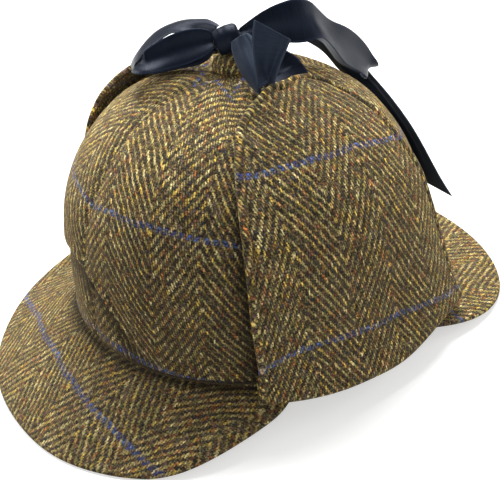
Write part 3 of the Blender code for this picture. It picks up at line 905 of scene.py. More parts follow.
    def normal(self, angle: Array, along: Array) -> Array:
        """The direction square to the crown's outer face.

        Args:
            angle: degrees from the front.
            along: share of the way from the rim to the button.
        Returns:
            A direction of length 1 for each place.
        """
        angle, along = np.asarray(angle), np.asarray(along, float)
        turn, step = self.probe
        low, high = np.maximum(along - step, 0.0), np.minimum(along + step, 1 - 2 * step)
        around = self.surface(angle + turn, along) - self.surface(angle - turn, along)
        return unit(np.cross(around, self.surface(angle, high) - self.surface(angle, low)))

    def over(self, angle: Array, along: Array, out: Array) -> Array:
        """Points at a distance out from the crown's outer face."""
        return self.surface(angle, along) + self.normal(angle, along) * np.asarray(out)[..., None]


@dataclass
class Crown:
    """Six gores sewn from the rim to the button."""
    form: CrownForm
    finish: Material
    gores: int = 6
    wall: float = 2.2
    side_end: float = 0.9  # share of the way up at which the rows close in
    dome_start: float = 0.905
    dome_rows: int = 10
    top: float = 0.984
    crowd: Pair = (0.55, 0.45)  # how the columns crowd towards the seams
    seam_depth: float = 1.1
    seam_width: float = 4.0
    full_width: float = 30.0
    slack: float = 0.08
    pucker: float = 0.28
    pucker_length: float = 5.5
    pucker_width: float = 7.0
    rumple_depth: float = 0.55
    rumple_size: float = 34.0
    rumple_seed: float = 3.1
    tuck: float = 1.3  # how far the edge sewn to the peaks is drawn in
    tuck_width: float = 1.5
    seam_painted_shade: float = 0.95  # share of the tone lost in the seam with the peaks, a painted shade
    seam_range: Pair = (2.4, 3.8)  # millimetres up the cloth over which it comes back
    flap_front: float = 59.0  # degrees from the front to the flaps' front edges
    flap_shade_width: float = 4.0
    flap_shade: float = 0.75  # share of the tone lost beside those edges, the flaps' painted shadow
    flap_range: Pair = (95.0, 125.0)  # millimetres up the cloth over which that ends
    low_shade: float = 0.28  # share of the tone lost low on the crown, a painted shade
    low_range: Pair = (25.0, 125.0)
    rows: int = 170
    columns: int = 40
    check_at: float = 94.9  # millimetres up the middle of a gore to its overcheck
    check_bow: float = 0.07  # share by which the gore's edges run longer than its middle
    check_tilt: float = 3.6  # millimetres by which the overcheck runs down to the gore's rear seam
    spine: float = 23.0  # millimetres from the gore's middle to its herringbone's turn

    def gore(self, number: int) -> Cut:
        """Cuts one gore.

        Args:
            number: 0 is the gore on the wearer's left of the front.
        Returns:
            Its grid.
        """
        turn = 360 / self.gores
        first = number * turn
        middle = first + turn / 2
        side = np.linspace(0, self.side_end, self.rows - self.dome_rows)
        along = np.concatenate([side, np.linspace(self.dome_start, self.top, self.dome_rows)])
        share = crowded(self.columns, *self.crowd)
        spoke = self.form.surface(middle, along) - self.form.surface(0, 1.0)
        reach = np.linalg.norm(spoke[:, :2], axis=-1)
        width = 2 * math.pi * reach / self.gores
        loose = np.degrees(self.slack / reach)
        angle = first + loose[:, None] + share[None, :] * (turn - 2 * loose[:, None])
        from_seam = np.minimum(share, 1 - share)[None, :] * width[:, None]
        fade = np.minimum(width / self.full_width, 1)[:, None]
        rise = np.broadcast_to(along[:, None] * self.form.length, angle.shape)
        pull = self.seam_depth * bump_at(from_seam, 0, self.seam_width)
        gather = np.sin(rise * 2 * math.pi / self.pucker_length + number)
        gather = self.pucker * bump_at(from_seam, 0, self.pucker_width) * gather
        flat = self.form.surface(angle, along[:, None])
        soft = self.rumple_depth * rumple(flat, self.rumple_size, self.rumple_seed)
        tuck = self.tuck * bump_at(rise, 0, self.tuck_width)
        points = self.form.over(angle, along[:, None], (gather - pull) * fade + soft - tuck)
        # painted shadow under the front overhang and painted highlight along its rolled edge
        tone = self.form.fold_shade_and_highlight(angle, self.form.height_at(along)[:, None])
        # painted shade in the seam with the peaks
        tone = tone * (1 - self.seam_painted_shade * (1 - smooth_step(*self.seam_range, rise)))
        # painted shadow of the flaps' lifted front edges on the crown
        flap_shadow = bump_at(np.abs(signed(angle)), self.flap_front, self.flap_shade_width)
        flap_shadow = flap_shadow * (1 - smooth_step(*self.flap_range, rise))
        tone = tone * (1 - self.flap_shade * flap_shadow)
        # painted shade, darker towards the rim
        tone = tone * (1 - self.low_shade * (1 - smooth_step(*self.low_range, rise)))
        return Cut(points, self.cloth(middle, angle, rise, flat), tone)

    def cloth(self, middle: float, angle: Array, rise: Array, flat: Array) -> Array:
        """Where each point of a gore lay on the flat cloth.

        Args:
            middle: angle of the gore's middle.
            angle: each point's angle.
            rise: how far up the cloth it lies.
            flat: where it lies on the crown without seams.
        Returns:
            Places sideways and up the cloth, in millimetres.
        """
        side = np.array([math.cos(math.radians(middle)), math.sin(math.radians(middle)), 0.0])
        centre = self.form.surface(0, 1.0)
        across = (flat - centre) @ side
        off = (angle - middle) / (180 / self.gores)
        rearward = 1 if middle < 180 else -1
        up = rise * (1 + self.check_bow * off ** 2)
        up = up + self.check_tilt * rearward * off - self.check_at
        return np.stack([across - self.spine, up], -1)

    def build(self, room: Workroom) -> None:
        """Makes the six gores.

        Args:
            room: where the pieces are made.
        """
        for number in range(self.gores):
            mesh = room.shell("gore", self.gore(number), self.wall, 0.0, Facing.AWAY_FROM_MIDDLE)
            name = f"crown_gore_{number + 1}"
            room.hand_over(name, mesh, self.finish, Slot.TWEED, f"crown_panel_{number + 1}")


@dataclass
class Button:
    """The cloth-covered button where the six seams meet."""
    form: CrownForm
    finish: Material
    radius: float = 10.2
    height: float = 9.0
    clearance: float = 0.35
    sides: int = 72
    gathers: int = 22
    gather_depth: float = 0.22
    weave_at: Pair = (13.95, 20.0)  # where on the cloth its middle was cut
    outline: Rows = (  # share of the radius, share of the height
        (0.02, 1.0), (0.18, 0.99), (0.35, 0.95), (0.52, 0.89), (0.66, 0.81), (0.79, 0.70), (0.88, 0.58),
        (0.96, 0.44), (1.0, 0.30), (0.995, 0.18), (0.96, 0.08), (0.88, 0.01), (0.5, 0.0), (0.02, 0.0),
    )

    def build(self, room: Workroom) -> None:
        """Turns the button from its outline, with small gathers round its edge.

        Args:
            room: where the pieces are made.
        """
        rows = np.array(self.outline)
        turn = np.linspace(0, 2 * math.pi, self.sides, endpoint=False)
        low = 1 - rows[:, 1]
        folds = 1 + self.gather_depth / self.radius * np.outer(low ** 2, np.sin(turn * self.gathers))
        radius = rows[:, :1] * self.radius * folds
        foot = self.form.surface(0, 1.0) + np.array([0, 0, self.clearance])
        level = np.broadcast_to(rows[:, 1:] * self.height, radius.shape)
        points = np.stack([np.cos(turn) * radius, np.sin(turn) * radius, level], -1)
        run = along_of(points, 0)
        cloth = np.stack([np.cos(turn) * run, np.sin(turn) * run], -1) + np.array(self.weave_at)
        verts = np.concatenate([points.reshape(-1, 3), [[0, 0, self.height]], [[0, 0, 0]]]) + foot
        maps = np.concatenate([cloth.reshape(-1, 2), cloth[[0, -1]].mean(1)])
        mesh = room.mesh("crown_button", verts, turned_faces(len(rows), self.sides), maps)
        room.hand_over("covered_button", mesh, self.finish, Slot.TWEED, "crown_button")


# ---------------------------------------------------------------- peaks
@dataclass
class Peak:
    """A stiffened peak, from under the crown's wall out to its free edge."""
    name: str
    node: str
    form: CrownForm
    finish: Material
    middle: float
    table: Rows  # angle, depth beyond the rim, edge height, bend
    thickness: float = 3.0
    seat: float = 0.5
    inset: float = 2.6
    rows: int = 30
    columns: int = 150
    row_spread: float = 0.9  # under 1 the rows lie closer towards the edge
    spine: float = 37.0  # millimetres sideways to a turn of the herringbone
    shade_tone: float = 1.0  # tone of the whole peak; below 1 it is painted shade
    check: Rows = ((-100, 170), (100, 170))  # sideways and forward place of the overcheck
    rumple_depth: float = 0.4
    rumple_size: float = 38.0
    rumple_seed: float = 9.4
    seam_painted_shade: float = 0.85  # share of the tone lost beside the crown, a painted contact shadow
    seam_shade: float = 2.6  # millimetres over which it comes back
    clearance: float = 0.2  # height of the cloth's underside where the peak rests

    def cut(self) -> Cut:
        """Cuts the peak.

        Returns:
            Its grid, from the root outwards.
        """
        rows = np.array(self.table, dtype=float)
        depth_at, edge_at = Curve(rows[:, 0], rows[:, 1]), Curve(rows[:, 0], rows[:, 2])
        angle = np.linspace(rows[0, 0], rows[-1, 0], self.columns)[None, :]
        share = np.linspace(0, 1, self.rows)[:, None] ** self.row_spread
        angle, share = np.broadcast_arrays(angle, share)
        root = self.form.surface(self.middle + angle, 0.0)
        depth = depth_at(angle)
        bend = np.interp(angle, rows[:, 0], rows[:, 3])
        fall = root[..., 2] - self.seat - edge_at(angle)
        points = root + outward(self.middle + angle) * (share * (depth + self.inset) - self.inset)[..., None]
        points[..., 2] -= self.seat + fall * share ** bend
        soft = self.rumple_depth * rumple(points, self.rumple_size, self.rumple_seed)
        points[..., 2] += soft * np.sin(math.pi * share) ** 0.5
        points[..., 2] = np.maximum(points[..., 2] - self.thickness / 2, self.thickness / 2 + self.clearance)
        forward = math.cos(math.radians(self.middle))
        across = points[..., 0]
        beyond = np.linalg.norm(points[..., :2] - root[..., :2], axis=-1)
        # painted shade over the whole peak, and a painted contact shadow beside the crown
        tone = self.shade_tone * (1 - self.seam_painted_shade * bump_at(beyond, 0, self.seam_shade))
        check = np.array(self.check, dtype=float)
        up = points[..., 1] * forward + Curve(check[:, 0], check[:, 1])(across)
        return Cut(points, np.stack([across * forward - self.spine, up], -1), tone)

    def build(self, room: Workroom) -> None:
        """Makes the peak."""
        mesh = room.shell(self.name, self.cut(), self.thickness, 0.5, Facing.UPWARDS)
        room.hand_over(self.name, mesh, self.finish, Slot.TWEED, self.node)


# ---------------------------------------------------------------- ear flaps
@dataclass
class EarFlap:
    """A flap sewn at the rim, turned up at a round fold and laid over the side of the crown."""
    name: str
    node: str
    side: Side
    form: CrownForm
    finish: Material
    front_lift: float = 0.0
    thickness: float = 2.5
    fold_radius: float = 4.25
    root_up: float = 6.0
    root_out: float = 1.75
    root_turn: float = 2.6
    flare: float = 8.0
    columns: int = 76
    body_rows: int = 84
    crowd: Pair = (0.6, 0.4)  # how the columns crowd towards the edges
    fold_steps: int = 26
    fold_turn: Pair = (160.0, 365.0)  # degrees round the fold, from level and outwards
    root_step: float = 0.5
    edge_roll: float = 0.8
    roll_at: float = 1.2  # millimetres in from the edge
    roll_width: float = 1.6
    edge_groove: float = 0.8
    groove_at: float = 3.8
    groove_width: float = 0.9
    edge_lift: float = 2.2  # how far the front edge stands off the crown
    edge_lift_width: float = 9.0
    edge_highlight: float = 0.15  # share by which the turned front edge is paler, a painted highlight
    highlight_at: float = 1.4  # how far in from the edge it is palest
    highlight_width: float = 1.4
    groove_painted_shade: float = 0.45  # share of the tone lost in the groove beside it, a painted shade
    dark_at: float = 4.0  # how far in from the edge it is darkest
    bow_shadow: float = 0.28  # share of the tone lost under the bow, the bow's painted shadow
    shade_range: Pair = (100.0, 145.0)  # heights up the crown over which that shade comes in
    flare_range: Pair = (104.0, 139.0)  # degrees over which the rear corner flares out
    flare_end: Pair = (0.0, 0.40)  # shares of the way up over which the flare ends
    lift_range: Pair = (0.25, 0.55)  # shares of the way up over which the front edge lifts
    lift_end: Pair = (0.72, 0.83)
    soft_range: Pair = (0.05, 0.2)  # shares of the way up over which the cloth turns soft
    rumple_depth: float = 0.5
    rumple_size: float = 30.0
    rumple_seed: float = 5.7
    spine: float = -24.5  # millimetres back to a turn of the herringbone
    check_at: float = 120.5  # millimetres up the crown to the upper overcheck
    fold: Rows = (  # angle, distance out and height of the fold's middle, from the rim
        (57, 8.6, 0.5), (66, 9.4, -0.2), (77, 10.0, -1.8), (96, 10.6, -4.2), (107, 11.0, -4.0),
        (119, 12.2, 1.2), (127, 13.5, 3.4), (139, 17.2, 4.4),
    )
    body: Rows = (  # share of the way up the crown, front and rear angle, distance out
        (0.050, 59.3, 137.2, 11.6), (0.100, 59.5, 137.8, 9.4), (0.160, 59.3, 138.2, 7.4),
        (0.230, 59.0, 138.6, 6.2), (0.310, 59.0, 138.4, 5.4), (0.390, 58.9, 138.0, 5.0),
        (0.460, 58.6, 137.4, 4.8), (0.530, 58.2, 137.0, 4.6), (0.600, 58.0, 138.4, 4.5),
        (0.660, 58.4, 139.6, 4.3), (0.710, 59.6, 141.0, 4.1), (0.750, 63.5, 141.4, 4.4),
        (0.785, 71.5, 138.5, 5.0), (0.810, 82.0, 133.0, 5.3), (0.828, 95.0, 122.0, 5.5),
    )
    check_drop: Rows = (  # angle, how far the upper overcheck lies under its height in front
        (57, 0), (78, 0), (91, 0.9), (101, 2.9), (111, 3.9), (122, 7.9), (132, 13.8), (140, 18.5),
    )
    low_drop: Rows = (  # the same for the lower overcheck
        (57, 12.7), (62, 9.7), (67, 5.9), (73, 3.7), (80, 3.9), (88, 5.7), (95, 7.5), (102, 8.5), (110, 9.3),
        (120, 12.7), (128, 16.3), (137, 19.9), (140, 20.7),
    )
    check_range: Pair = (25.0, 110.0)  # heights up the crown at which low_drop and check_drop hold

    def body_points(self, share: Array) -> tuple[Array, Array, Array]:
        """The part that lies on the crown: its points, angles and how far along each lies.

        Args:
            share: share of the way from the front to the rear edge, for each column.
        Returns:
            The points, their angles, and the share of the way up the crown.
        """
        rows = np.array(self.body)
        step = np.arange(len(rows), dtype=float)
        at = np.linspace(0, len(rows) - 1, self.body_rows)
        along = np.interp(at, step, rows[:, 0])
        front, rear, out = (Curve(step, rows[:, i])(at) for i in (1, 2, 3))
        angle = front[:, None] + share[None, :] * (rear - front)[:, None]
        along = np.broadcast_to(along[:, None], angle.shape)
        flare = self.flare * smooth_step(*self.flare_range, angle) * (1 - smooth_step(*self.flare_end, along))
        high = smooth_step(*self.lift_range, along) * (1 - smooth_step(*self.lift_end, along))
        lift = out[:, None] + flare + self.front_lift * (1 - share[None, :]) ** 2 * high
        flat = self.form.over(angle, along, lift)
        soft = self.rumple_depth * rumple(flat, self.rumple_size, self.rumple_seed)
        lift = lift + soft * smooth_step(*self.soft_range, along)
        return self.form.over(angle, along, lift + self.edge(flat)), angle, along

    def edge(self, points: Array) -> Array:
        """The roll of the turned edge, the groove beside it and the lift of the front edge.

        Args:
            points: the grid without them.
        Returns:
            How far each point moves out, in millimetres.
        """
        across = along_of(points, 1)
        upward = along_of(points, 0)
        near = np.minimum(np.minimum(across, across[:, -1:] - across), upward[-1:] - upward)
        off = self.edge_lift * bump_at(across, 0.0, self.edge_lift_width)
        off = off + self.edge_roll * bump_at(near, self.roll_at, self.roll_width)
        return off - self.edge_groove * bump_at(near, self.groove_at, self.groove_width)

    def cut(self) -> Cut:
        """Cuts the flap.

        Returns:
            Its grid, from the seam round the fold and up the crown.
        """
        share = crowded(self.columns, *self.crowd)
        body, angles, alongs = self.body_points(share)
        fold = np.array(self.fold)
        bottom = self.body[0][1] + share * (self.body[0][2] - self.body[0][1])
        out_at, up_at = Curve(fold[:, 0], fold[:, 1]), Curve(fold[:, 0], fold[:, 2])
        root = self.form.surface(bottom, 0.0)
        away = outward(bottom)
        lift = np.array([0.0, 0.0, 1.0])
        rows = [root + away * self.root_out + lift * self.root_up,
                root + away * (self.root_out + self.root_step) + lift * (self.root_up - self.root_turn)]
        for bend in np.radians(np.linspace(*self.fold_turn, self.fold_steps)):
            level = out_at(bottom) + math.cos(bend) * self.fold_radius
            rise = up_at(bottom) + math.sin(bend) * self.fold_radius
            rows.append(root + away * level[:, None] + lift * rise[:, None])
        lower = np.stack(rows)
        points = np.concatenate([lower, body])
        below = along_of(points[:len(rows) + 1], 0)
        up = alongs * self.form.length
        up_below = up[:1] - (below[-1:] - below[:-1])
        up = np.concatenate([up_below, up])
        # painted shadow of the bow, high on the flap
        shade = 1 - self.bow_shadow * smooth_step(*self.shade_range, up)
        angle = np.concatenate([np.broadcast_to(bottom, lower.shape[:2]), angles])
        high, low = (np.interp(angle, *zip(*drop)) for drop in (self.check_drop, self.low_drop))
        up = up + low + (high - low) * smooth_step(*self.check_range, up) - self.check_at
        across = points[..., 1] - self.spine
        inside = along_of(points, 1)
        # painted highlight along the turned front edge
        tone = 1 + self.edge_highlight * bump_at(inside, self.highlight_at, self.highlight_width)
        # painted shade in the groove beside the edge
        tone = tone - self.groove_painted_shade * bump_at(inside, self.dark_at, self.groove_width)
        return Cut(points, np.stack([across, up], -1), tone * shade)

    def build(self, room: Workroom) -> None:
        """Makes the flap.

        Args:
            room: where the pieces are made.
        """
        cut = self.cut() if self.side is Side.LEFT else room.mirror(self.cut())
        mesh = room.shell(self.name, cut, self.thickness, 0.5, Facing.AWAY_FROM_MIDDLE)
        room.hand_over(self.name, mesh, self.finish, Slot.TWEED, self.node)


# ---------------------------------------------------------------- bow
class Turn(NamedTuple):
    """A ribbon's middle line, from the button's foot, its width there, and the way its width points."""
    x: float
    y: float
    z: float
    width: float
    across: tuple


@dataclass
class Ribbon:
    """One run of the bow's ribbon."""
    name: str
    node: str
    turns: tuple
    flat_width: float = 25.0
    thickness: float = 0.55
    pleats: float = 1.5
    pleat_depth: float = 3.2  # the most that a pleat stands up where the run is narrow
    bulge: float = 0.0  # how far the run's middle stands out of its edges where it is gathered
    hem: float = 0.0  # width of the margin turned back along one edge
    hem_height: float = 1.0
    drift: float = 0.15  # how far the pleats wander sideways from one turn to the next
    steps: int = 10
    columns: int = 25
    slant: float = 0.0  # how much longer one edge is at the cut end
    back_and_sheen: bool = False  # whether the lighter tail finish is used, which is partly the ribbon's dull back and partly painted sheen

    def cut(self, foot: Array) -> Cut:
        """Lays the ribbon along its turns.

        Args:
            foot: the crown's top, which the turns are measured from.
        Returns:
            Its grid, with the ribbon's cut width gathered where the run is narrower.
        """
        last = len(self.turns) - 1
        at = np.linspace(0, last, self.steps * last + 1)
        keys = np.arange(last + 1, dtype=float)
        middle = np.stack([Curve(keys, [t[i] for t in self.turns])(at) for i in range(3)], -1)
        width = Curve(keys, [t.width for t in self.turns])(at)
        across = np.stack([Curve(keys, [t.across[i] for t in self.turns])(at) for i in range(3)], -1)
        path = unit(np.gradient(middle, axis=0))
        across = unit(across - path * np.sum(across * path, -1, keepdims=True))
        face = np.cross(across, path)
        side = np.linspace(-1, 1, self.columns)
        spare = np.clip(self.flat_width / width - 1, 0, None)
        depth = np.minimum(width / (2 * math.pi * self.pleats) * 4 * np.sqrt(spare), self.pleat_depth)
        fold = np.sin(side[None, :] * math.pi * self.pleats + self.drift * at[:, None])
        drop = depth[:, None] * fold * 0.5
        gathered = self.bulge * smooth_step(0.0, 1.0, spare)
        drop = drop + gathered[:, None] * np.cos(side * math.pi / 2)[None, :]
        if self.hem:
            inside = (side + 1)[None, :] * width[:, None] / 2
            drop = drop + self.hem_height * (1 - smooth_step(self.hem - 0.5, self.hem + 0.5, inside))
        points = middle[:, None] + across[:, None] * (side[None, :] * width[:, None] / 2)[..., None]
        points = points + face[:, None] * drop[..., None] + foot
        if self.slant:
            tail = smooth_step(last - 1.0, last, at)[:, None] * side[None, :] * self.slant / 2
            points = points + path[:, None] * tail[..., None]
        run = along_of(middle, 0)
        cloth = np.stack(np.broadcast_arrays(side[None, :] * self.flat_width / 2, run[:, None]), -1)
        return Cut(points, cloth)


@dataclass
class Knot:
    """The bow's knot: a strand wrapped round the rest, pleated lengthwise."""
    node: str = "bow_knot"
    reach: tuple = (7.2, 7.6, 6.2)  # half its length along the bow, half its height, half its depth
    lift: float = 17.4
    axis: tuple = (0.35, 0.85, 0.25)  # the way it lies
    facing: tuple = (0.74, -0.41, 0.53)  # the way its front looks
    squareness: float = 0.24  # 0.5 is a ball, nearer to 0 a drum
    pleats: int = 5
    pleat_depth: float = 0.07
    sway: float = 0.9  # how far the pleats wander round the knot
    end: float = 0.03  # angle from the axis at which the first ring lies
    weave_span: float = 8.0  # millimetres of ribbon for each unit of angle along the axis
    weave_from: float = 12.0
    sides: int = 64
    rings: int = 40

    def build(self, foot: Array, room: Workroom, finish: Material) -> None:
        """Makes the knot as a squarish, pleated bead.

        Args:
            foot: the crown's top.
            room: where the pieces are made.
            finish: the ribbon's finish.
        """
        polar = np.linspace(self.end, math.pi - self.end, self.rings)[:, None]
        turn = np.linspace(0, 2 * math.pi, self.sides, endpoint=False)[None, :]
        ring = np.sin(polar) ** self.squareness
        wave = np.sin(self.pleats * polar * 2.0 + self.sway * np.sin(turn))
        pleat = 1 + self.pleat_depth / self.reach[1] * wave * ring
        long_axis = unit(np.array(self.axis))
        up = unit(np.cross(long_axis, np.array(self.facing)))
        front = np.cross(up, long_axis)
        body = (long_axis * (np.cos(polar) * self.reach[0])[..., None] * np.ones_like(turn)[..., None]
                + up * (ring * np.cos(turn) * self.reach[1] * pleat)[..., None]
                + front * (ring * np.sin(turn) * self.reach[2] * pleat)[..., None])
        points = body + foot + np.array([0, 0, self.lift])
        poles = np.stack([points[0].mean(0), points[-1].mean(0)])
        run = np.broadcast_to(turn * self.reach[1], (self.rings, self.sides))
        cloth = np.stack([np.broadcast_to(polar * self.weave_span - self.weave_from, run.shape), run], -1)
        maps = np.concatenate([cloth.reshape(-1, 2), cloth[0, :1], cloth[-1, :1]])
        verts = np.concatenate([points.reshape(-1, 3), poles])
        mesh = room.mesh("ribbon_knot", verts, turned_faces(self.rings, self.sides), maps)
        room.hand_over("ribbon_knot", mesh, finish, Slot.RIBBON, self.node)


@dataclass
class Bow:
    """The ribbon's knot, two loops, two tails and the two ties that come up from the flaps."""
    form: CrownForm
    finish: Material
    back_and_sheen_finish: Material
    ribbons: tuple = ()

    def build(self, room: Workroom) -> None:
        """Makes the knot and every run of ribbon.

        Args:
            room: where the pieces are made.
        """
        foot = self.form.surface(0, 1.0)
        Knot().build(foot, room, self.finish)
        for ribbon in self.ribbons:
            cut = ribbon.cut(foot)
            mesh = room.shell(ribbon.name, cut, ribbon.thickness, 0.5, Facing.AS_WOVEN)
            # the tails take the lighter finish: partly the ribbon's dull back, partly painted sheen
            finish = self.back_and_sheen_finish if ribbon.back_and_sheen else self.finish
            piece = room.hand_over(ribbon.name, mesh, finish, Slot.RIBBON, ribbon.node)


RIBBONS = (
    Ribbon("ribbon_loop_left", "bow_loop_left", (
        Turn(-6.6, -3, 20.6, 8, (-0.60, 0.60, 0.50)),
        Turn(-16, -6, 20.3, 13, (-0.79, 0.53, 0.30)),
        Turn(-26, -10, 20, 17, (-0.90, 0.42, -0.08)),
        Turn(-33, -16, 18, 22, (-0.90, 0.36, -0.24)),
        Turn(-35.5, -24.5, 15, 22, (-0.91, 0.32, -0.26)),
        Turn(-34.5, -34, 10.5, 19, (-0.90, 0.28, -0.34)),
        Turn(-25, -42, 10.6, 12, (-0.88, 0.34, -0.20)),
        Turn(-17, -42.5, 12, 13, (-0.80, 0.35, 0.42)),
        Turn(-13.5, -33, 14.5, 16, (-0.69, 0.27, 0.67)),
        Turn(-8.5, -23, 17.3, 18, (-0.62, 0.29, 0.73)),
        Turn(-4.5, -13.5, 18.8, 15, (-0.60, 0.30, 0.74)),
        Turn(-2.6, -7.6, 18.6, 9, (-0.60, 0.30, 0.74)),
    ), pleats=1.0, pleat_depth=1.6),
    Ribbon("ribbon_loop_right", "bow_loop_right", (
        Turn(2.9, 6.9, 19.2, 6, (-0.50, 0.42, 0.75)),
        Turn(8, 16, 21, 14, (-0.55, 0.32, 0.77)),
        Turn(11.5, 27, 21, 21, (-0.59, 0.32, 0.74)),
        Turn(14.5, 37.5, 20, 24, (-0.62, 0.31, 0.72)),
        Turn(15, 47, 16.5, 21, (-0.74, 0.30, 0.60)),
        Turn(12.5, 56.5, 5, 20, (-0.80, 0.56, 0.20)),
        Turn(10, 66, -6, 22, (-0.66, 0.72, 0.21)),
        Turn(7, 76, -16, 21, (-0.60, 0.78, 0.16)),
        Turn(5, 84, -26, 17, (-0.58, 0.81, -0.00)),
        Turn(1, 89, -34, 12, (-0.55, 0.81, -0.20)),
        Turn(-7, 91, -36, 13, (-0.50, 0.86, 0.05)),
        Turn(-9.5, 83, -27, 17, (-0.65, 0.75, 0.10)),
        Turn(-6.5, 72.5, -16, 18, (-0.71, 0.64, 0.28)),
        Turn(0, 59, 0, 16, (-0.80, 0.58, 0.10)),
        Turn(3, 47, 7.5, 16, (-0.80, 0.57, 0.18)),
        Turn(1.5, 35, 11.5, 14, (-0.74, 0.55, 0.39)),
        Turn(0, 20, 14.5, 9, (-0.73, 0.53, 0.43)),
        Turn(-2.6, 9.2, 15.8, 5, (-0.74, 0.53, 0.41)),
    ), pleats=1.0, pleat_depth=1.2),
    Ribbon("ribbon_long_tail", "bow_long_tail", (
        Turn(-4.9, 6.2, 13.2, 5, (-0.57, 0.46, 0.68)),
        Turn(-9, 24, 12, 9, (-0.62, 0.48, 0.62)),
        Turn(-13, 42, 7, 11, (-0.62, 0.54, 0.57)),
        Turn(-19, 61, -5.5, 12, (-0.46, 0.66, 0.60)),
        Turn(-22.5, 79.5, -22.5, 13, (-0.10, 0.82, 0.57)),
        Turn(-20, 90, -40, 14, (0.45, 0.60, 0.65)),
        Turn(-9.4, 94.4, -49.5, 17, (0.84, 0.10, 0.53)),
        Turn(6.8, 95.2, -58.3, 21, (0.87, -0.06, 0.49)),
        Turn(25.2, 95.4, -71, 24, (0.84, -0.10, 0.53)),
        Turn(38, 96, -87, 25, (0.82, -0.07, 0.56)),
        Turn(44.8, 97.4, -96.8, 25, (0.82, -0.05, 0.57)),
    ), slant=17.0, pleat_depth=2.0, back_and_sheen=True),
    Ribbon("ribbon_short_tail", "bow_short_tail", (
        Turn(7.6, 3.2, 19.6, 10, (-0.26, -0.96, 0.11)),
        Turn(11, 3, 16, 13, (-0.50, -0.86, 0.11)),
        Turn(16.9, 1.4, 11, 13, (-0.60, -0.80, 0.06)),
        Turn(23, 0.6, 6.0, 12, (-0.66, -0.75, -0.05)),
        Turn(29, 0.6, 1.2, 10, (-0.76, -0.65, -0.10)),
        Turn(33, 0.6, -1.4, 7, (-0.80, -0.60, 0.00)),
        Turn(34.6, -0.4, 1.6, 8, (-0.62, -0.78, 0.10)),
        Turn(33.4, 1.4, 8.4, 11, (-0.54, -0.84, 0.08)),
        Turn(31, 4.9, 16, 15, (-0.55, -0.82, 0.14)),
        Turn(29.4, 8.6, 23.5, 19, (-0.55, -0.80, 0.24)),
        Turn(28.4, 11.2, 29, 20, (-0.60, -0.68, 0.42)),
    ), pleats=1.0, pleat_depth=1.0, bulge=5.5, hem=3.0, slant=7.0, back_and_sheen=True),
    Ribbon("ribbon_tie_left", "left_tie", (
        Turn(6, 8.4, 12.6, 6, (-0.47, 0.60, 0.65)),
        Turn(10.5, 13.6, 9.2, 12, (-0.25, 0.89, 0.37)),
        Turn(16.6, 16.2, 4.4, 20, (-0.23, 0.94, 0.27)),
        Turn(23.2, 18, -0.4, 25, (-0.25, 0.95, 0.16)),
        Turn(28.6, 18.5, -3.9, 25, (-0.24, 0.96, 0.02)),
    ), pleat_depth=0.8),
    Ribbon("ribbon_tie_right", "right_tie", (
        Turn(-5.8, -5.4, 12.4, 6, (-0.42, 0.70, 0.60)),
        Turn(-13, -9, 7.6, 12, (-0.62, 0.50, 0.60)),
        Turn(-26, -17, 2.4, 15, (-0.82, 0.47, 0.32)),
        Turn(-36, -23.5, -2.6, 15, (-0.86, 0.49, 0.14)),
        Turn(-41, -27.4, -4.8, 11, (-0.88, 0.46, 0.12)),
    ), pleats=2.0),
)

# both peaks: angle, depth beyond the rim, edge height, bend
FRONT_PEAK: Rows = (
    (-78, 3, 16.5, 0.8), (-75, 9, 13.4, 0.5), (-71, 22, 13.8, 0.4), (-67, 30.8, 14.6, 0.36),
    (-63.5, 33.8, 14.6, 0.4), (-60, 36.9, 12.6, 0.5), (-51, 42.5, 9.0, 0.8), (-40, 46.6, 6.0, 1.1),
    (-28, 50, 3.1, 1.2), (-14, 52, 2.9, 1.2),
    (0, 53, 3.1, 1.2), (14, 53, 2.8, 1.2), (25, 50, 2.8, 1.2), (34, 46, 3.2, 1.2), (41, 41, 6.0, 1.2),
    (48, 33, 10.0, 1.2), (58, 20, 14.0, 0.9), (66, 9.5, 17.0, 0.9), (70, 3, 20.5, 1.0),
)
REAR_PEAK: Rows = (
    (-60, 3, 17.0, 1.2), (-53, 16, 12.5, 1.2), (-48, 25, 9.0, 1.2), (-41, 35, 5.5, 1.2), (-33, 41, 3.6, 1.2),
    (-20, 43, 3.2, 1.2), (0, 42, 3.6, 1.2), (20, 43, 3.2, 1.2), (33, 41, 3.6, 1.2), (41, 36, 5.5, 1.2),
    (48, 27, 9.0, 1.2), (53, 17, 12.5, 1.2), (60, 3, 17.0, 1.2),
)
# how far sideways, how far forward the front peak's overcheck runs
FRONT_CHECK: Rows = (
    (-108, 100), (-94, 102.4), (-50, 113.6), (-18, 120.8), (19, 124.7), (52, 123.5), (84, 117.9), (104, 112),
)


# ---------------------------------------------------------------- studio
class Lamp(NamedTuple):
    """A soft light: its place and width in metres, and its watts."""
    name: str
    place: tuple
    size: float
    watts: float


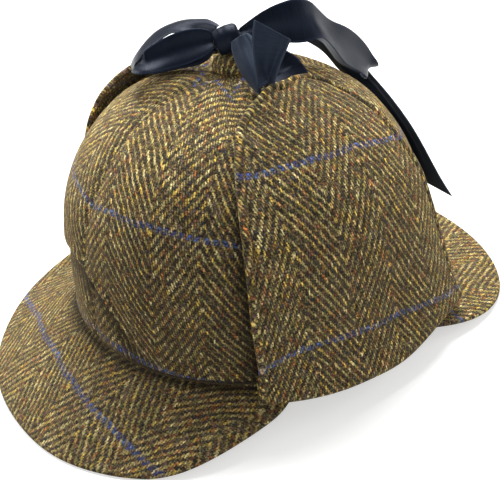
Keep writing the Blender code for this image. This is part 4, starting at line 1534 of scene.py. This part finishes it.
@dataclass
class Studio:
    """A plain pale floor, soft lights and the camera at the picture's angle."""
    azimuth: float = 61.27  # degrees from the front towards the wearer's left
    elevation: float = 32.22  # degrees up
    roll: float = -7.61  # degrees
    distance: float = 900.0  # millimetres
    focal: float = 1592.2  # pixels
    frame_width: float = 500.0  # pixels
    frame_height: float = 480.0  # pixels
    aim: tuple = (3.67, 5.5, 81.8)
    aim_at: Pair = (241.0, 199.4)  # pixel at which the aim point shows
    sensor: float = 36.0  # millimetres
    world_light: float = 0.30
    lit_height: float = 0.07  # metres up the hat to which the lamps point
    floor_colour: str = "#cfcfcd"
    floor_fleck: str = "#c4c4c2"
    floor_reach: float = 4.0  # metres from the middle to each side
    floor_glow: float = 0.52  # light of the floor's own, which keeps the hat's shadow faint
    lamps: tuple = (
        Lamp("top_softbox", (-0.60, 0.45, 1.30), 1.1, 46.0),
        Lamp("left_softbox", (-1.15, -0.60, 0.70), 0.8, 12.0),
        Lamp("right_softbox", (0.60, 1.40, 0.60), 0.9, 8.0),
        Lamp("near_softbox", (1.20, -0.90, 0.80), 1.0, 5.0),
        Lamp("low_card", (1.25, -1.05, 0.22), 0.8, 4.5),
    )

    def camera(self) -> None:
        """Sets the camera, turned so that the picture's middle needs no shift."""
        turn, rise = math.radians(self.azimuth), math.radians(self.elevation)
        back = Vector((math.sin(turn) * math.cos(rise), -math.cos(turn) * math.cos(rise), math.sin(rise)))
        right = Vector((math.cos(turn), math.sin(turn), 0.0))
        up = back.cross(right)
        lean = math.radians(self.roll)
        right, up = (right * math.cos(lean) + up * math.sin(lean),
                     up * math.cos(lean) - right * math.sin(lean))
        place = Vector(self.aim) * MM + back * self.distance * MM
        ahead = (right * (self.frame_width / 2 - self.aim_at[0]) / self.focal
                 - up * (self.frame_height / 2 - self.aim_at[1]) / self.focal - back).normalized()
        right = (right - ahead * right.dot(ahead)).normalized()
        up = right.cross(ahead)
        data = bpy.data.cameras.new("camera")
        data.sensor_width = self.sensor
        data.lens = self.focal * self.sensor / self.frame_width
        camera = put_in_scene("camera", data)
        pose = Matrix((right, up, -ahead)).transposed().to_4x4()
        pose.translation = place
        camera.matrix_world = pose
        bpy.context.scene.camera = camera

    def light(self, lamp: Lamp) -> None:
        """Adds one soft light, pointed at the hat.

        Args:
            lamp: its place, size and watts.
        """
        data = bpy.data.lights.new(lamp.name, "AREA")
        data.shape = "DISK"
        data.size = lamp.size
        data.energy = lamp.watts
        light = put_in_scene(lamp.name, data)
        light.location = lamp.place
        ahead = Vector((0, 0, self.lit_height)) - Vector(lamp.place)
        light.rotation_euler = ahead.to_track_quat("-Z", "Y").to_euler()

    def floor(self) -> None:
        """Lays the pale floor."""
        mesh = bpy.data.meshes.new("studio_floor")
        reach = self.floor_reach
        corners = [(-reach, -reach, 0), (reach, -reach, 0), (reach, reach, 0), (-reach, reach, 0)]
        mesh.from_pydata(corners, [], [(0, 1, 2, 3)])
        # faintly grained paper, with light of its own, which leaves only a soft shadow under the hat
        material = new_material("pale_studio_paper")
        tree = material.node_tree
        grain = add_node(tree, "ShaderNodeTexNoise", {"Scale": 60.0, "Detail": 2.0})
        surface_of(tree, {
            "Base Color": blend(tree, grain * 0.06, linear(self.floor_colour), linear(self.floor_fleck)),
            "Roughness": 0.9,
            "Emission Color": linear("#fffffe"),
            "Emission Strength": self.floor_glow,
        })
        mesh.materials.append(material)
        paper = put_in_scene("studio_floor", mesh)
        paper.visible_diffuse = False

    def build(self) -> None:
        """Sets up the whole studio."""
        scene = bpy.context.scene
        world = bpy.data.worlds.new("studio")
        world.use_nodes = True
        sky = world.node_tree.nodes["Background"]
        sky.inputs["Color"].default_value = linear("#fbfbff")
        sky.inputs["Strength"].default_value = self.world_light
        scene.world = world
        scene.view_settings.view_transform = "Standard"
        self.floor()
        for lamp in self.lamps:
            self.light(lamp)
        self.camera()


def main() -> None:
    """Builds the hat piece by piece, then the studio, and logs how many pieces there are."""
    logging.basicConfig(level=logging.INFO, format="%(name)s %(message)s")
    room = Workroom()
    tweed = Tweed().make()
    # the peaks' nap is pressed flat, so their gaps are paler and their floats more even
    pressed = Tweed("pressed_herringbone_tweed", trough=0.52, crown_gain=0.62, luck_gain=0.60).make()
    satin = Satin().make()
    # the tails' soft slate grey is partly the ribbon's dull back and partly painted sheen
    back_and_sheen_satin = Satin("satin_ribbon_back_and_painted_sheen", "#242b37", "#3a4452", gloss=0.42, sheen=0.30).make()
    form = CrownForm()
    Crown(form, tweed).build(room)
    Button(form, tweed).build(room)
    # both peaks are darkened with painted shade, the front one more
    Peak("front_peak_cloth", "front_peak", form, pressed, 0.0, FRONT_PEAK,
         check=FRONT_CHECK, shade_tone=0.87).build(room)
    Peak("rear_peak_cloth", "rear_peak", form, pressed, 180.0, REAR_PEAK, shade_tone=0.96).build(room)
    EarFlap("ear_flap_left", "left_ear_flap", Side.LEFT, form, tweed).build(room)
    # the right flap's turned front edge gets a strong painted highlight, and no painted shade in its groove
    EarFlap("ear_flap_right", "right_ear_flap", Side.RIGHT, form, tweed, front_lift=2.0,
            groove_painted_shade=0.0, edge_highlight=1.3, highlight_at=0.2).build(room)
    Bow(form, satin, back_and_sheen_satin, RIBBONS).build(room)
    Studio().build()
    log.info("%d pieces", len(room.made))


if __name__ == "__main__":
    main()
